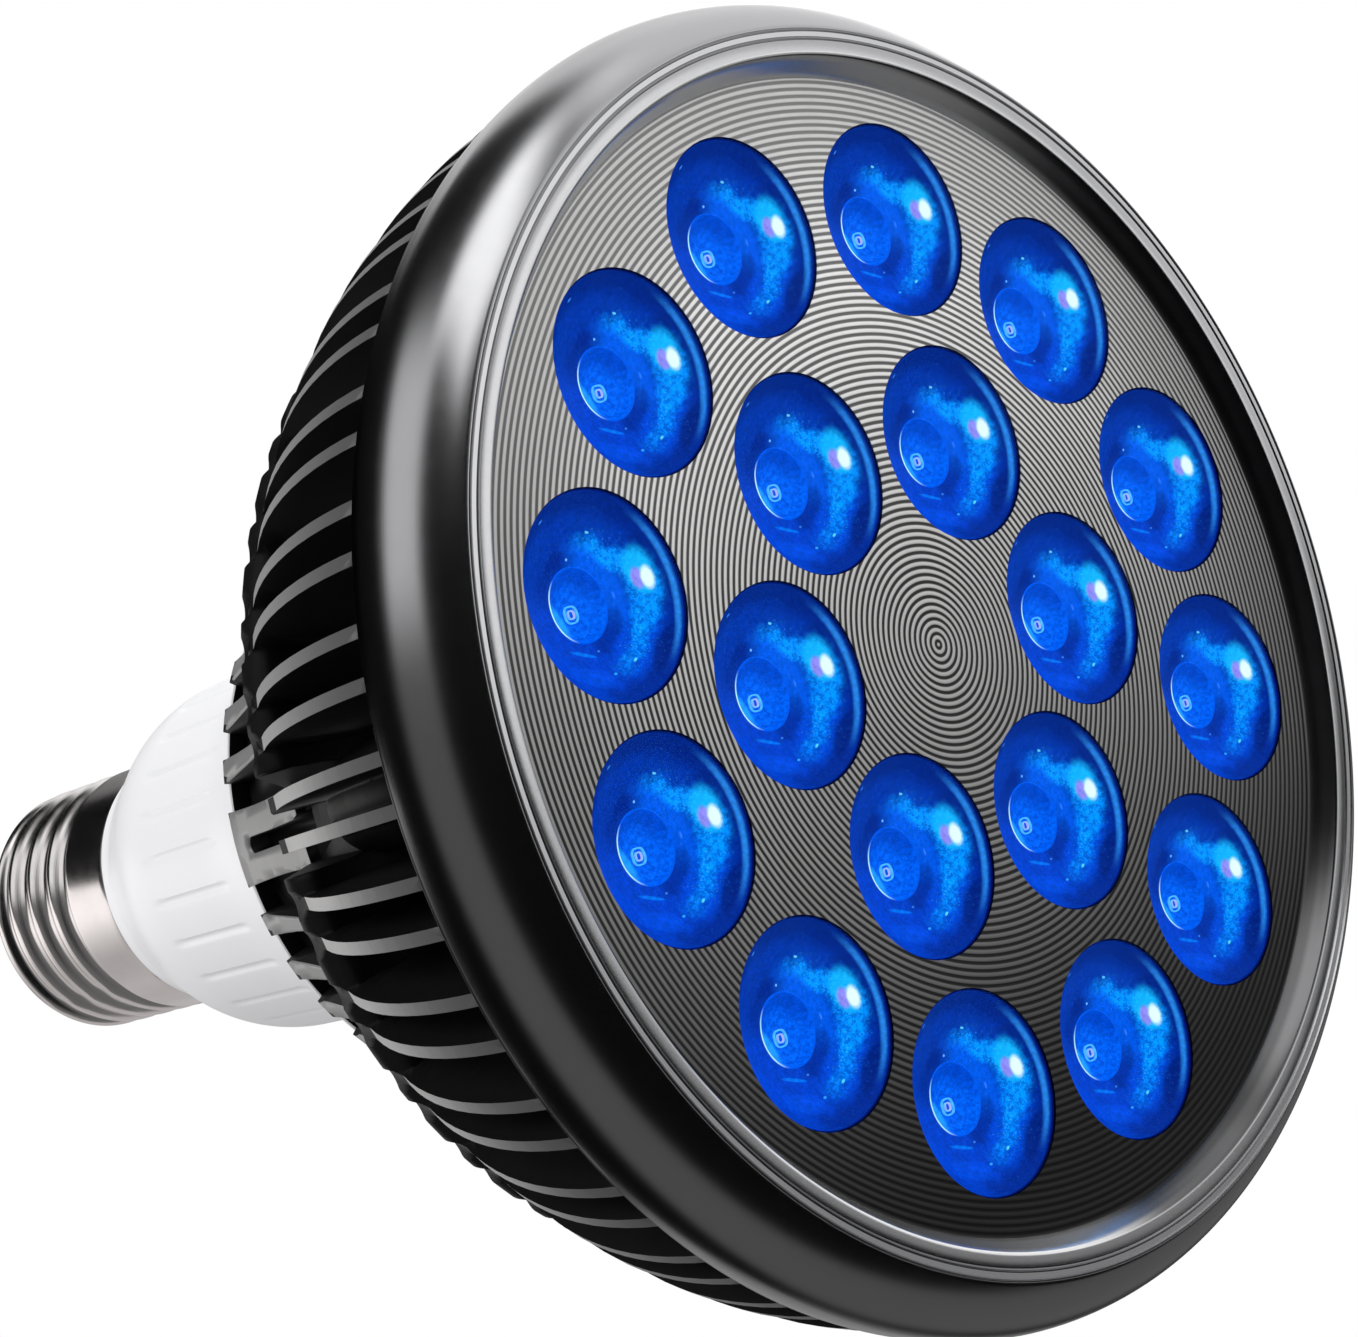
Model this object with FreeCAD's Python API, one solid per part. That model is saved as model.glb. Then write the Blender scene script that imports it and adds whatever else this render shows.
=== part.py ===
"""Grow light bulb: eighteen lensed LEDs in a finned reflector-lamp body on a screw base.

The bulb stands face down. The origin is the middle of the bezel's front plane, +Z runs up the
bulb's axis to the contact in the screw base, and angles are counted about +Z from +X, where the
first lens of the inner ring lies. All sizes are millimetres.
"""

import FreeCAD, Part
import math
import os
from FreeCAD import Vector

os.makedirs("parts", exist_ok=True)

# Whole bulb
OVERALL_RADIUS = 60.3           # a PAR38 reflector lamp is 38 eighths of an inch across
OVERALL_LENGTH = 134.5

# Face: bezel, plate and lenses
BEZEL_BACK_Z = 10.2             # where the fins' front ends meet the bezel
BEZEL_SKIRT_RADIUS = 53.4       # inside of the bezel behind its lip
BEZEL_LIP_RADIUS = 52.1         # visible edge of the plate
BEZEL_LAND_RADIUS = 53.7        # inner edge of the flat land on the rim
BEZEL_LAND_OUTER = 56.2
BEZEL_GROOVES = (55.1, 55.9)    # radii of the two fine grooves turned in the land
BEZEL_GROOVE_WIDTH = 0.36
BEZEL_GROOVE_DEPTH = 0.3
PLATE_Z = 2.2
PLATE_THICKNESS = 1.5
PLATE_RADIUS = 53.2
LENS_RADIUS = 9.0
LENS_CLEARANCE = 0.1
LENS_FRONT_Z = 2.7              # the lenses sit half a millimetre under the plate
LENS_RIM = 0.9                  # straight edge before the lens tapers
LENS_FOOT_RADIUS = 4.4
LENS_WELL_RADIUS = 3.0          # the hollow in the lens's foot, over its LED
LENS_WELL_DEPTH = 4.7
OUTER_RING_RADIUS = 39.65
OUTER_RING_COUNT = 12
OUTER_RING_TURN = 16.06         # degrees from the inner ring's first lens
INNER_RING_RADIUS = 19.87
INNER_RING_COUNT = 6

# LED board, under the lenses
BOARD_Z = 11.0
BOARD_THICKNESS = 1.6
BOARD_RADIUS = 48.4
PAD_THICKNESS = 0.5
LED_SIZE = 3.45
LED_HEIGHT = 0.7
LED_DOME_RADIUS = 1.35
BOARD_SCREW_RADIUS = 29.5       # three screws between the two rings of lenses
BOARD_SCREW_TURN = 31.0
BOARD_SCREW_COUNT = 3
SCREW_SHANK_RADIUS = 1.5
SCREW_HEAD_RADIUS = 2.7
SCREW_HEAD_HEIGHT = 1.6
SCREW_LENGTH = 6.1
SCREW_SLOT = (0.7, 4.4, 0.8)    # width, length and depth of the slot in a screw's head
SCREW_HOLE_RADIUS = 1.7         # clearance hole in the board and the pad
WIRE_HOLE_RADIUS = 4.0

# Heat sink: front stage
DECK_Z = BOARD_Z + BOARD_THICKNESS + PAD_THICKNESS
DECK_BACK_Z = 19.5
CUP_RADIUS = 48.8
CUP_OUTER = 53.2
FIN_ARC_RADIUS = 46.0           # the fins' turned outline is one arc
FIN_FRONT_RADIUS = 59.2
FIN_ARC_Z = 8.0                 # height of the arc's centre
FIN_END_Z = 34.4                # where the fins' edges end at the shoulder
FIN_FACET_END = (49.9, 36.4)    # each edge ends in a small facet that slopes back
FIN_TAIL = (47.6, 38.9)         # the fin's hidden end, inside the shoulder
FIN_TAIL_ROOT = (44.9, 35.8)
FIN_THICKNESS = 1.2
FIN_PAIRS = 36
NARROW_GAP = 4.2                # degrees between the two fins of a pair
FIN_DEPTH = 8.6
FLOOR_END_Z = 27.5              # where the valley floors start to curve up to the shoulder
FLOOR_RISE = (46.0, 31.0)
CROWN_START = (49.8, 33.6)      # the shoulder that closes the valleys, as radius and height
CROWN_TOP = (50.6, 35.4)
CROWN_END = (49.4, 37.8)
NOTCH_RADIUS = 1.7              # round notches round the facets leave the shoulder scalloped
NOTCH_DEPTH = 0.15              # how far a notch reaches under the facet
NOTCH_LENGTH = 6.0
WALL = 3.2
PATTERN_TURN = 1.0              # the casting's pattern sits one degree on from the lenses

# Heat sink: rear stage
REAR_ROOT = (38.6, 47.0)        # the steep rear face ends here, in a small hollow curve
REAR_ROOT_MIDDLE = (37.4, 48.0)
REAR_FRONT = (36.7, 49.6)
REAR_MIDDLE = (32.4, 58.6)      # the rear stage flares a little towards the shoulder
REAR_END_RADIUS = 29.0
REAR_END_Z = 67.7
POCKET_START_Z = 46.0
POCKET_BEND_Z = 54.0
POCKET_DEPTH = 3.2
POCKET_HALF_WIDTH = 2.8
POCKET_BEND_HALF_WIDTH = 2.45
POCKET_MIDDLE_HALF_WIDTH = 2.0
POCKET_END_HALF_WIDTH = 1.35
SLOT_HALF_WIDTH = 0.8
SLOT_MOUTH_HALF_WIDTH = 1.5     # the slot opens out where it meets the shoulder
SLOT_MOUTH_Z = 50.0
SLOT_END_Z = 64.4
BORE_RADIUS = 23.4
BORE_Z = 50.0
CAVITY_END_Z = 36.0

# Bosses: three rounded columns that run down inside the fins
BOSS_COUNT = 3
BOSS_RADIUS = 4.8
BOSS_UNDER_FINS = 4.3
BOSS_INNER = 10.0               # depth under the fins' arc at which a boss ends inside the wall
BOSS_SWEEP = 60.0               # degrees of the fins' arc that a boss follows
CHANNEL_DEPTH = 7.5             # over a boss the shoulder is cut through to the slot
CHANNEL_SPAN = 10.4             # degrees
CHANNEL_FRONT_Z = 30.0
CHANNEL_REAR = (36.6, 47.6)     # where the channel's floor meets the slot
BOSS_END = ((46.4, 36.4), (42.8, 41.6))

# Collar
COLLAR_WALL = 2.0
COLLAR_SPIGOT_Z = 60.0
COLLAR_END_Z = 109.3
COLLAR_NECK_RADIUS = 13.5
COLLAR_RIBS = 26
COLLAR_RIB_TURN = 7.5
COLLAR_WAIST_RADIUS = 19.0      # the fluted part, which narrows slightly to the base
COLLAR_WAIST_Z = 85.0
COLLAR_WAIST_END = (18.7, 94.6)
COLLAR_FLANGE_RADIUS = 28.2
COLLAR_FLUTE_RADIUS = 1.0
COLLAR_FLUTE_Z = 82.0
COLLAR_FLUTE_LENGTH = 13.0
COLLAR_FLUTE_SLOPE = -0.03
COLLAR_GROOVE_DEPTH = 0.35
SPIGOT_RADIUS = 12.7            # the collar's end, inside the screw shell
SPIGOT_END_Z = 115.5
SPIGOT_WALL = 1.6
FIT_CLEARANCE = 0.1

# Screw base
SHELL_RADIUS = 13.2             # plain band
SHELL_CREST_RADIUS = 13.15      # a 26 mm Edison screw
SHELL_SHEET = 0.4
THREAD_START_Z = 116.4
THREAD_END_Z = 129.0
SHELL_END_Z = 130.6
SHELL_END_RADIUS = 9.6
INSULATOR_END_Z = 133.4
INSULATOR_END_RADIUS = 5.2
CONTACT_RADIUS = 4.6
CONTACT_STEM_RADIUS = 2.0
CONTACT_STEM_Z = 126.9

# Driver
DRIVER_Y = -3.0
DRIVER_THICKNESS = 1.6
DRIVER_HALF_WIDTH = 12.0
DRIVER_FRONT_Z = 48.0
DRIVER_BACK_Z = 98.0
RAIL_Z = 84.6                   # the collar's rails take the board's rear edge
RAIL_LENGTH = 10.0
RAIL_SIZE = (8.0, 5.2)          # breadth and thickness before a rail is cut to the collar
RAIL_GRIP = 1.2                 # how far a rail's groove covers the board's edge
TRANSFORMER_CORE = (16.0, 10.0, 13.0)
TRANSFORMER_BOBBIN = (10.0, 12.0, 9.0)
TRANSFORMER_Z = 64.0
CAPACITOR_RADIUS = 4.0
CAPACITOR_LENGTH = 12.0
CAPACITOR_Z = 82.0
WIRE_RADIUS = 0.7
WIRE_ON_BOARD = 4.0             # how far a lead lies along the driver board


def outline(start, steps):
    """A closed face in the XZ half plane. A step is an end point, or an arc's middle and end."""
    edges = []
    here = Vector(start[0], 0, start[1])
    first = here
    for step in steps:
        if isinstance(step[0], tuple):
            middle = Vector(step[0][0], 0, step[0][1])
            end = Vector(step[1][0], 0, step[1][1])
            edges.append(Part.Arc(here, middle, end).toShape())
        else:
            end = Vector(step[0], 0, step[1])
            edges.append(Part.LineSegment(here, end).toShape())
        here = end
    if here.distanceToPoint(first) > 1e-6:
        edges.append(Part.LineSegment(here, first).toShape())
    return Part.Face(Part.Wire(edges))


def turned(start, steps):
    """The solid that an outline sweeps about the bulb's axis."""
    return outline(start, steps).revolve(Vector(0, 0, 0), Vector(0, 0, 1), 360)


def tube(outer, inner, low, high):
    """A plain ring or, with no inner radius, a disc."""
    solid = Part.makeCylinder(outer, high - low, Vector(0, 0, low))
    if inner > 0:
        solid = solid.cut(Part.makeCylinder(inner, high - low + 2, Vector(0, 0, low - 1)))
    return solid


def turn_about_axis(shape, angle):
    """A copy of the shape turned about the bulb's axis."""
    copy = shape.copy()
    copy.rotate(Vector(0, 0, 0), Vector(0, 0, 1), angle)
    return copy


def polar(radius, angle, z=0.0):
    """A point by radius, angle in degrees and height."""
    return Vector(radius * math.cos(math.radians(angle)), radius * math.sin(math.radians(angle)), z)


def save(name, shape):
    """Check a finished piece and write its file."""
    if not shape.isValid():
        raise ValueError(name + " is not a valid shape")
    shape.exportStep("parts/" + name + ".step")


def lens_places():
    """The middles of the eighteen lenses: the outer ring first, then the inner."""
    places = []
    for index in range(OUTER_RING_COUNT):
        places.append((OUTER_RING_RADIUS, OUTER_RING_TURN + index * 360 / OUTER_RING_COUNT))
    for index in range(INNER_RING_COUNT):
        places.append((INNER_RING_RADIUS, index * 360 / INNER_RING_COUNT))
    return places


def screw_places():
    """The angles of the board screws."""
    return [BOARD_SCREW_TURN + index * 360 / BOARD_SCREW_COUNT for index in range(BOARD_SCREW_COUNT)]


def make_bezel():
    """The glossy rim: a bulged outside, a flat land with two fine grooves, and a sloped lip."""
    half = BEZEL_GROOVE_WIDTH / 2
    steps = [(BEZEL_LAND_RADIUS, 0.0)]
    for radius in BEZEL_GROOVES:
        steps.append((radius - half, 0.0))
        steps.append((radius, BEZEL_GROOVE_DEPTH))
        steps.append((radius + half, 0.0))
    steps.append((BEZEL_LAND_OUTER, 0.0))
    steps.append(((59.0, 2.75), (OVERALL_RADIUS, 6.6)))
    steps.append(((60.15, 8.5), (59.6, BEZEL_BACK_Z)))
    steps.append((BEZEL_SKIRT_RADIUS, BEZEL_BACK_Z))
    steps.append((BEZEL_SKIRT_RADIUS, PLATE_Z))
    return turned((BEZEL_LIP_RADIUS, PLATE_Z), steps)


def make_face_plate():
    """The turned metal plate with a hole for every lens."""
    plate = tube(PLATE_RADIUS, 0, PLATE_Z, PLATE_Z + PLATE_THICKNESS)
    holes = []
    for radius, angle in lens_places():
        hole = Part.makeCylinder(LENS_RADIUS + LENS_CLEARANCE, PLATE_THICKNESS + 2)
        hole.translate(polar(radius, angle, PLATE_Z - 1))
        holes.append(hole)
    return plate.cut(holes)


def make_lens():
    """One collimator lens at the axis: a curved cone that stands on the board over its LED."""
    well_top = BOARD_Z - LENS_WELL_DEPTH
    return turned(
        (0, LENS_FRONT_Z),
        [
            (LENS_RADIUS, LENS_FRONT_Z),
            (LENS_RADIUS, LENS_FRONT_Z + LENS_RIM),
            ((7.3, 7.4), (LENS_FOOT_RADIUS, BOARD_Z)),
            (LENS_WELL_RADIUS, BOARD_Z),
            (LENS_WELL_RADIUS - 0.2, well_top),
            (0, well_top),
        ],
    )


def make_led():
    """One LED package at the axis: a square base and its clear dome."""
    half = LED_SIZE / 2
    base_z = BOARD_Z - LED_HEIGHT
    base = Part.makeBox(LED_SIZE, LED_SIZE, LED_HEIGHT, Vector(-half, -half, base_z))
    dome = Part.makeSphere(LED_DOME_RADIUS, Vector(0, 0, base_z))
    below = Part.makeBox(LED_SIZE, LED_SIZE, LED_SIZE, Vector(-half, -half, base_z - LED_SIZE))
    return base.fuse(dome.common(below)).removeSplitter()


def make_led_board():
    """The metal-core board with its screw holes and the hole for the wires."""
    board = tube(BOARD_RADIUS, WIRE_HOLE_RADIUS, BOARD_Z, BOARD_Z + BOARD_THICKNESS)
    return board.cut(screw_holes(SCREW_HOLE_RADIUS, BOARD_Z, BOARD_THICKNESS))


def make_thermal_pad():
    """The heat-conducting sheet between the board and the heat sink's deck."""
    low = BOARD_Z + BOARD_THICKNESS
    pad = tube(BOARD_RADIUS - 0.8, WIRE_HOLE_RADIUS + 0.5, low, DECK_Z)
    return pad.cut(screw_holes(SCREW_HOLE_RADIUS, low, PAD_THICKNESS))


def screw_holes(radius, low, depth):
    """Cutters for the board screws' holes."""
    holes = []
    for angle in screw_places():
        hole = Part.makeCylinder(radius, depth + 2)
        hole.translate(polar(BOARD_SCREW_RADIUS, angle, low - 1))
        holes.append(hole)
    return holes


def make_board_screws():
    """Three pan-head screws, one solid each, that hold the board to the deck."""
    head_z = BOARD_Z - SCREW_HEAD_HEIGHT
    screws = []
    for angle in screw_places():
        head = Part.makeCylinder(SCREW_HEAD_RADIUS, SCREW_HEAD_HEIGHT, Vector(0, 0, head_z))
        slot = Part.makeBox(*SCREW_SLOT, Vector(-SCREW_SLOT[0] / 2, -SCREW_SLOT[1] / 2, head_z))
        shank = Part.makeCylinder(SCREW_SHANK_RADIUS, SCREW_LENGTH, Vector(0, 0, BOARD_Z))
        screw = head.cut(slot).fuse(shank).removeSplitter()
        screw.translate(polar(BOARD_SCREW_RADIUS, angle))
        screws.append(screw)
    return Part.makeCompound(screws)


def fin_arc(depth, z):
    """The point at a height on the fins' arc, or on one that lies a depth under it."""
    reach = math.sqrt((FIN_ARC_RADIUS - depth) ** 2 - (z - FIN_ARC_Z) ** 2)
    return (FIN_FRONT_RADIUS - FIN_ARC_RADIUS + reach, z)


def make_sink_core():
    """The casting without fins: cup, deck, valley floors, shoulder, rear stage and cavity."""
    inner = FIN_DEPTH + WALL
    cavity_mid_z = (DECK_BACK_Z + CAVITY_END_Z) / 2
    return turned(
        (WIRE_HOLE_RADIUS, DECK_Z),
        [
            (CUP_RADIUS, DECK_Z),
            (CUP_RADIUS, PLATE_Z + PLATE_THICKNESS),
            (CUP_OUTER, PLATE_Z + PLATE_THICKNESS),
            (CUP_OUTER, BEZEL_BACK_Z),
            fin_arc(FIN_DEPTH, BEZEL_BACK_Z),
            (fin_arc(FIN_DEPTH, (BEZEL_BACK_Z + FLOOR_END_Z) / 2), fin_arc(FIN_DEPTH, FLOOR_END_Z)),
            (FLOOR_RISE, CROWN_START),
            (CROWN_TOP, CROWN_END),
            REAR_ROOT,
            (REAR_ROOT_MIDDLE, REAR_FRONT),
            (REAR_MIDDLE, (REAR_END_RADIUS, REAR_END_Z)),
            (BORE_RADIUS, REAR_END_Z),
            (BORE_RADIUS, BORE_Z),
            fin_arc(inner, CAVITY_END_Z),
            (fin_arc(inner, cavity_mid_z), fin_arc(inner, DECK_BACK_Z)),
            (WIRE_HOLE_RADIUS, DECK_BACK_Z),
        ],
    )


def make_fin():
    """One fin along +X: its edge follows the arc and ends in a facet on the shoulder."""
    root = FIN_DEPTH + WALL / 2
    start = fin_arc(0, BEZEL_BACK_Z)
    end = fin_arc(0, FIN_END_Z)
    face = outline(
        start,
        [
            (fin_arc(0, (BEZEL_BACK_Z + FIN_END_Z) / 2), end),
            FIN_FACET_END,
            FIN_TAIL,
            FIN_TAIL_ROOT,
            fin_arc(root, FLOOR_END_Z),
            (fin_arc(root, (BEZEL_BACK_Z + FLOOR_END_Z) / 2), fin_arc(root, BEZEL_BACK_Z)),
        ],
    )
    fin = face.extrude(Vector(0, FIN_THICKNESS, 0))
    fin.translate(Vector(0, -FIN_THICKNESS / 2, 0))
    return fin


def fin_angles():
    """The fins' angles, in pairs on each side of a narrow gap."""
    angles = []
    for index in range(FIN_PAIRS):
        middle = PATTERN_TURN + index * 360 / FIN_PAIRS
        angles.append(middle - NARROW_GAP / 2)
        angles.append(middle + NARROW_GAP / 2)
    return angles


def make_notch():
    """A round cutter along +X that lies over a fin's facet and leaves the facet in a notch."""
    edge_end = fin_arc(0, FIN_END_Z)
    along = Vector(FIN_FACET_END[0] - edge_end[0], 0, FIN_FACET_END[1] - edge_end[1]).normalize()
    outward = Vector(along.z, 0, -along.x)
    start = Vector(edge_end[0], 0, edge_end[1]) + outward * (NOTCH_RADIUS - NOTCH_DEPTH) - along
    return Part.makeCylinder(NOTCH_RADIUS, NOTCH_LENGTH, start, along)


def make_channel():
    """A cutter centred on +X that opens the shoulder over a boss, down to the slot behind it."""
    front = fin_arc(CHANNEL_DEPTH, CHANNEL_FRONT_Z)
    turn = fin_arc(CHANNEL_DEPTH, CROWN_START[1])
    face = outline(
        front,
        [
            turn,
            CHANNEL_REAR,
            (FIN_FRONT_RADIUS, CHANNEL_REAR[1]),
            (FIN_FRONT_RADIUS, CHANNEL_FRONT_Z),
        ],
    )
    channel = face.revolve(Vector(0, 0, 0), Vector(0, 0, 1), CHANNEL_SPAN)
    return turn_about_axis(channel, -CHANNEL_SPAN / 2)


def boss_angles():
    """The angles of the bosses, each in the middle of a narrow gap."""
    return [PATTERN_TURN + index * 360 / BOSS_COUNT for index in range(BOSS_COUNT)]


def make_bosses():
    """Rounded columns that follow the fins' arc a little under their edges."""
    centre = Vector(FIN_FRONT_RADIUS - FIN_ARC_RADIUS, 0, FIN_ARC_Z)
    path_radius = FIN_ARC_RADIUS - BOSS_UNDER_FINS - BOSS_RADIUS
    disc = Part.Face(Part.Wire(Part.makeCircle(BOSS_RADIUS, centre + Vector(path_radius, 0, 0))))
    column = disc.revolve(centre, Vector(0, -1, 0), BOSS_SWEEP)
    limit = turned(
        fin_arc(BOSS_INNER, BEZEL_BACK_Z),
        [
            (FIN_FRONT_RADIUS, BEZEL_BACK_Z),
            (FIN_FRONT_RADIUS, CROWN_START[1]),
            BOSS_END[0],
            BOSS_END[1],
            fin_arc(BOSS_INNER, CROWN_START[1]),
            (fin_arc(BOSS_INNER, (BEZEL_BACK_Z + CROWN_START[1]) / 2), fin_arc(BOSS_INNER, BEZEL_BACK_Z)),
        ],
    )
    column = column.common(limit)
    return [turn_about_axis(column, angle) for angle in boss_angles()]


def pocket_floor():
    """The solid under the rear stage's pockets, whose surface is their floor."""
    return turned(
        (0, POCKET_START_Z - 1),
        [
            (REAR_FRONT[0] - POCKET_DEPTH, POCKET_START_Z - 1),
            (REAR_FRONT[0] - POCKET_DEPTH, REAR_FRONT[1]),
            (REAR_END_RADIUS - POCKET_DEPTH, REAR_END_Z + 1),
            (0, REAR_END_Z + 1),
        ],
    )


def make_pocket():
    """A rear-stage pocket cutter along +X: wide at the shoulder, drawn in by curved sides."""
    inside = BORE_RADIUS
    left = [
        Vector(inside, -POCKET_HALF_WIDTH, POCKET_START_Z),
        Vector(inside, -POCKET_BEND_HALF_WIDTH, POCKET_BEND_Z),
        Vector(inside, -POCKET_MIDDLE_HALF_WIDTH, (POCKET_BEND_Z + REAR_END_Z) / 2),
        Vector(inside, -POCKET_END_HALF_WIDTH, REAR_END_Z + 0.5),
    ]
    right = [Vector(point.x, -point.y, point.z) for point in left]
    edges = [
        Part.LineSegment(left[0], left[1]).toShape(),
        Part.Arc(left[1], left[2], left[3]).toShape(),
        Part.LineSegment(left[3], right[3]).toShape(),
        Part.Arc(right[3], right[2], right[1]).toShape(),
        Part.LineSegment(right[1], right[0]).toShape(),
        Part.LineSegment(right[0], left[0]).toShape(),
    ]
    return Part.Face(Part.Wire(edges)).extrude(Vector(BORE_RADIUS, 0, 0)).cut(pocket_floor())


def make_slot():
    """The narrow slot cutter at a boss: a wide mouth, then a round end short of the collar."""
    inside = BORE_RADIUS
    straight_z = SLOT_END_Z - SLOT_HALF_WIDTH
    corners = [
        Vector(inside, -SLOT_MOUTH_HALF_WIDTH, POCKET_START_Z),
        Vector(inside, SLOT_MOUTH_HALF_WIDTH, POCKET_START_Z),
        Vector(inside, SLOT_HALF_WIDTH, SLOT_MOUTH_Z),
        Vector(inside, SLOT_HALF_WIDTH, straight_z),
        Vector(inside, 0, SLOT_END_Z),
        Vector(inside, -SLOT_HALF_WIDTH, straight_z),
        Vector(inside, -SLOT_HALF_WIDTH, SLOT_MOUTH_Z),
    ]
    edges = [
        Part.LineSegment(corners[0], corners[1]).toShape(),
        Part.LineSegment(corners[1], corners[2]).toShape(),
        Part.LineSegment(corners[2], corners[3]).toShape(),
        Part.Arc(corners[3], corners[4], corners[5]).toShape(),
        Part.LineSegment(corners[5], corners[6]).toShape(),
        Part.LineSegment(corners[6], corners[0]).toShape(),
    ]
    return Part.Face(Part.Wire(edges)).extrude(Vector(BORE_RADIUS, 0, 0)).cut(pocket_floor())


def make_heat_sink():
    """The casting: cup and deck in front, paired fins round a bell, and a rear stage of lands."""
    notch = make_notch()
    channel = make_channel()
    openings = [turn_about_axis(notch, angle) for angle in fin_angles()]
    openings += [turn_about_axis(channel, angle) for angle in boss_angles()]
    fin = make_fin()
    fins = [turn_about_axis(fin, angle) for angle in fin_angles()]
    sink = make_sink_core().cut(openings).fuse(fins + make_bosses()).removeSplitter()
    pocket = make_pocket()
    slot = make_slot()
    cutters = screw_holes(SCREW_SHANK_RADIUS, DECK_Z, SCREW_LENGTH)
    for index in range(FIN_PAIRS):
        boss_here = index % (FIN_PAIRS // BOSS_COUNT) == 0
        cutter = slot if boss_here else pocket
        cutters.append(turn_about_axis(cutter, PATTERN_TURN + index * 360 / FIN_PAIRS))
    return sink.cut(cutters)


def make_collar():
    """The white plastic bell between the heat sink and the screw shell, fluted round its waist."""
    spigot = BORE_RADIUS - FIT_CLEARANCE
    inner = spigot - COLLAR_WALL
    bell = turned(
        (inner, COLLAR_SPIGOT_Z),
        [
            (spigot, COLLAR_SPIGOT_Z),
            (spigot, REAR_END_Z),
            (COLLAR_FLANGE_RADIUS, REAR_END_Z),
            (COLLAR_FLANGE_RADIUS - 0.2, REAR_END_Z + 0.9),
            ((21.5, 76.0), (COLLAR_WAIST_RADIUS, COLLAR_WAIST_Z)),
            COLLAR_WAIST_END,
            ((17.9, 99.6), (16.3, 103.1)),
            (14.6, 106.4),
            ((13.75, 107.8), (COLLAR_NECK_RADIUS, COLLAR_END_Z)),
            (SPIGOT_RADIUS, COLLAR_END_Z),
            (SPIGOT_RADIUS, SPIGOT_END_Z),
            (SPIGOT_RADIUS - SPIGOT_WALL, SPIGOT_END_Z),
            (SPIGOT_RADIUS - SPIGOT_WALL, 104.5),
            (COLLAR_WAIST_END[0] - COLLAR_WALL, COLLAR_WAIST_END[1]),
            (COLLAR_WAIST_RADIUS - COLLAR_WALL, COLLAR_WAIST_Z),
            ((18.8, 75.6), (inner, REAR_END_Z)),
        ],
    )
    flute_radius = COLLAR_WAIST_RADIUS + COLLAR_FLUTE_RADIUS - COLLAR_GROOVE_DEPTH
    flute = Part.makeCylinder(
        COLLAR_FLUTE_RADIUS, COLLAR_FLUTE_LENGTH,
        Vector(flute_radius, 0, COLLAR_FLUTE_Z), Vector(COLLAR_FLUTE_SLOPE, 0, 1))
    flutes = []
    for index in range(COLLAR_RIBS):
        flutes.append(turn_about_axis(flute, COLLAR_RIB_TURN + index * 360 / COLLAR_RIBS))
    return bell.cut(flutes).fuse(driver_rails()).removeSplitter()


def driver_rails():
    """Two grooved rails inside the collar that take the driver board's edges."""
    end_z = RAIL_Z + RAIL_LENGTH
    limit = turned((0, RAIL_Z), [(17.02, RAIL_Z), (16.75, end_z), (0, end_z)])
    inside = DRIVER_HALF_WIDTH - RAIL_GRIP
    flank = (RAIL_SIZE[1] - DRIVER_THICKNESS) / 2
    rail = Part.makeBox(RAIL_SIZE[0], RAIL_SIZE[1], RAIL_LENGTH, Vector(inside, DRIVER_Y - flank, RAIL_Z))
    groove = Part.makeBox(RAIL_GRIP + FIT_CLEARANCE, DRIVER_THICKNESS, RAIL_LENGTH,
                          Vector(inside, DRIVER_Y, RAIL_Z))
    right = rail.cut(groove).common(limit)
    left = right.mirror(Vector(0, 0, 0), Vector(1, 0, 0))
    return [right, left]


def make_shell():
    """The plated screw shell: a thin cup with a plain band, the screw zone and a rolled end."""
    sheet = SHELL_SHEET
    return turned(
        (SHELL_RADIUS - sheet, COLLAR_END_Z),
        [
            (SHELL_RADIUS, COLLAR_END_Z),
            (SHELL_RADIUS, THREAD_START_Z),
            (SHELL_CREST_RADIUS, THREAD_START_Z + 0.6),
            (SHELL_CREST_RADIUS, THREAD_END_Z - 0.8),
            ((12.6, 130.0), (SHELL_END_RADIUS + 1.2, SHELL_END_Z)),
            (SHELL_END_RADIUS, SHELL_END_Z),
            (SHELL_END_RADIUS, SHELL_END_Z - sheet),
            (SHELL_END_RADIUS + 1.2, SHELL_END_Z - sheet),
            ((12.25, 129.7), (SHELL_CREST_RADIUS - sheet, THREAD_END_Z - 0.8)),
            (SHELL_CREST_RADIUS - sheet, THREAD_START_Z + 0.6),
            (SHELL_RADIUS - sheet, THREAD_START_Z),
        ],
    )


def make_insulator():
    """The black insulator that closes the shell round the contact."""
    low = SHELL_END_Z - 3.0
    inside = SHELL_END_RADIUS + 1.0
    return turned(
        (CONTACT_STEM_RADIUS, low),
        [
            (inside, low),
            (inside, SHELL_END_Z - SHELL_SHEET),
            (SHELL_END_RADIUS, SHELL_END_Z - SHELL_SHEET),
            (SHELL_END_RADIUS, SHELL_END_Z),
            (INSULATOR_END_RADIUS, INSULATOR_END_Z),
            (CONTACT_STEM_RADIUS, INSULATOR_END_Z),
        ],
    )


def make_contact():
    """The centre contact: a domed button on a stem through the insulator."""
    rise = OVERALL_LENGTH - INSULATOR_END_Z
    dome_radius = (CONTACT_RADIUS ** 2 + rise ** 2) / (2 * rise)
    dome = Part.makeSphere(dome_radius, Vector(0, 0, OVERALL_LENGTH - dome_radius))
    button = dome.common(tube(CONTACT_RADIUS, 0, INSULATOR_END_Z, OVERALL_LENGTH + 1))
    stem = tube(CONTACT_STEM_RADIUS, 0, CONTACT_STEM_Z, INSULATOR_END_Z)
    return button.fuse(stem).removeSplitter()


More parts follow.
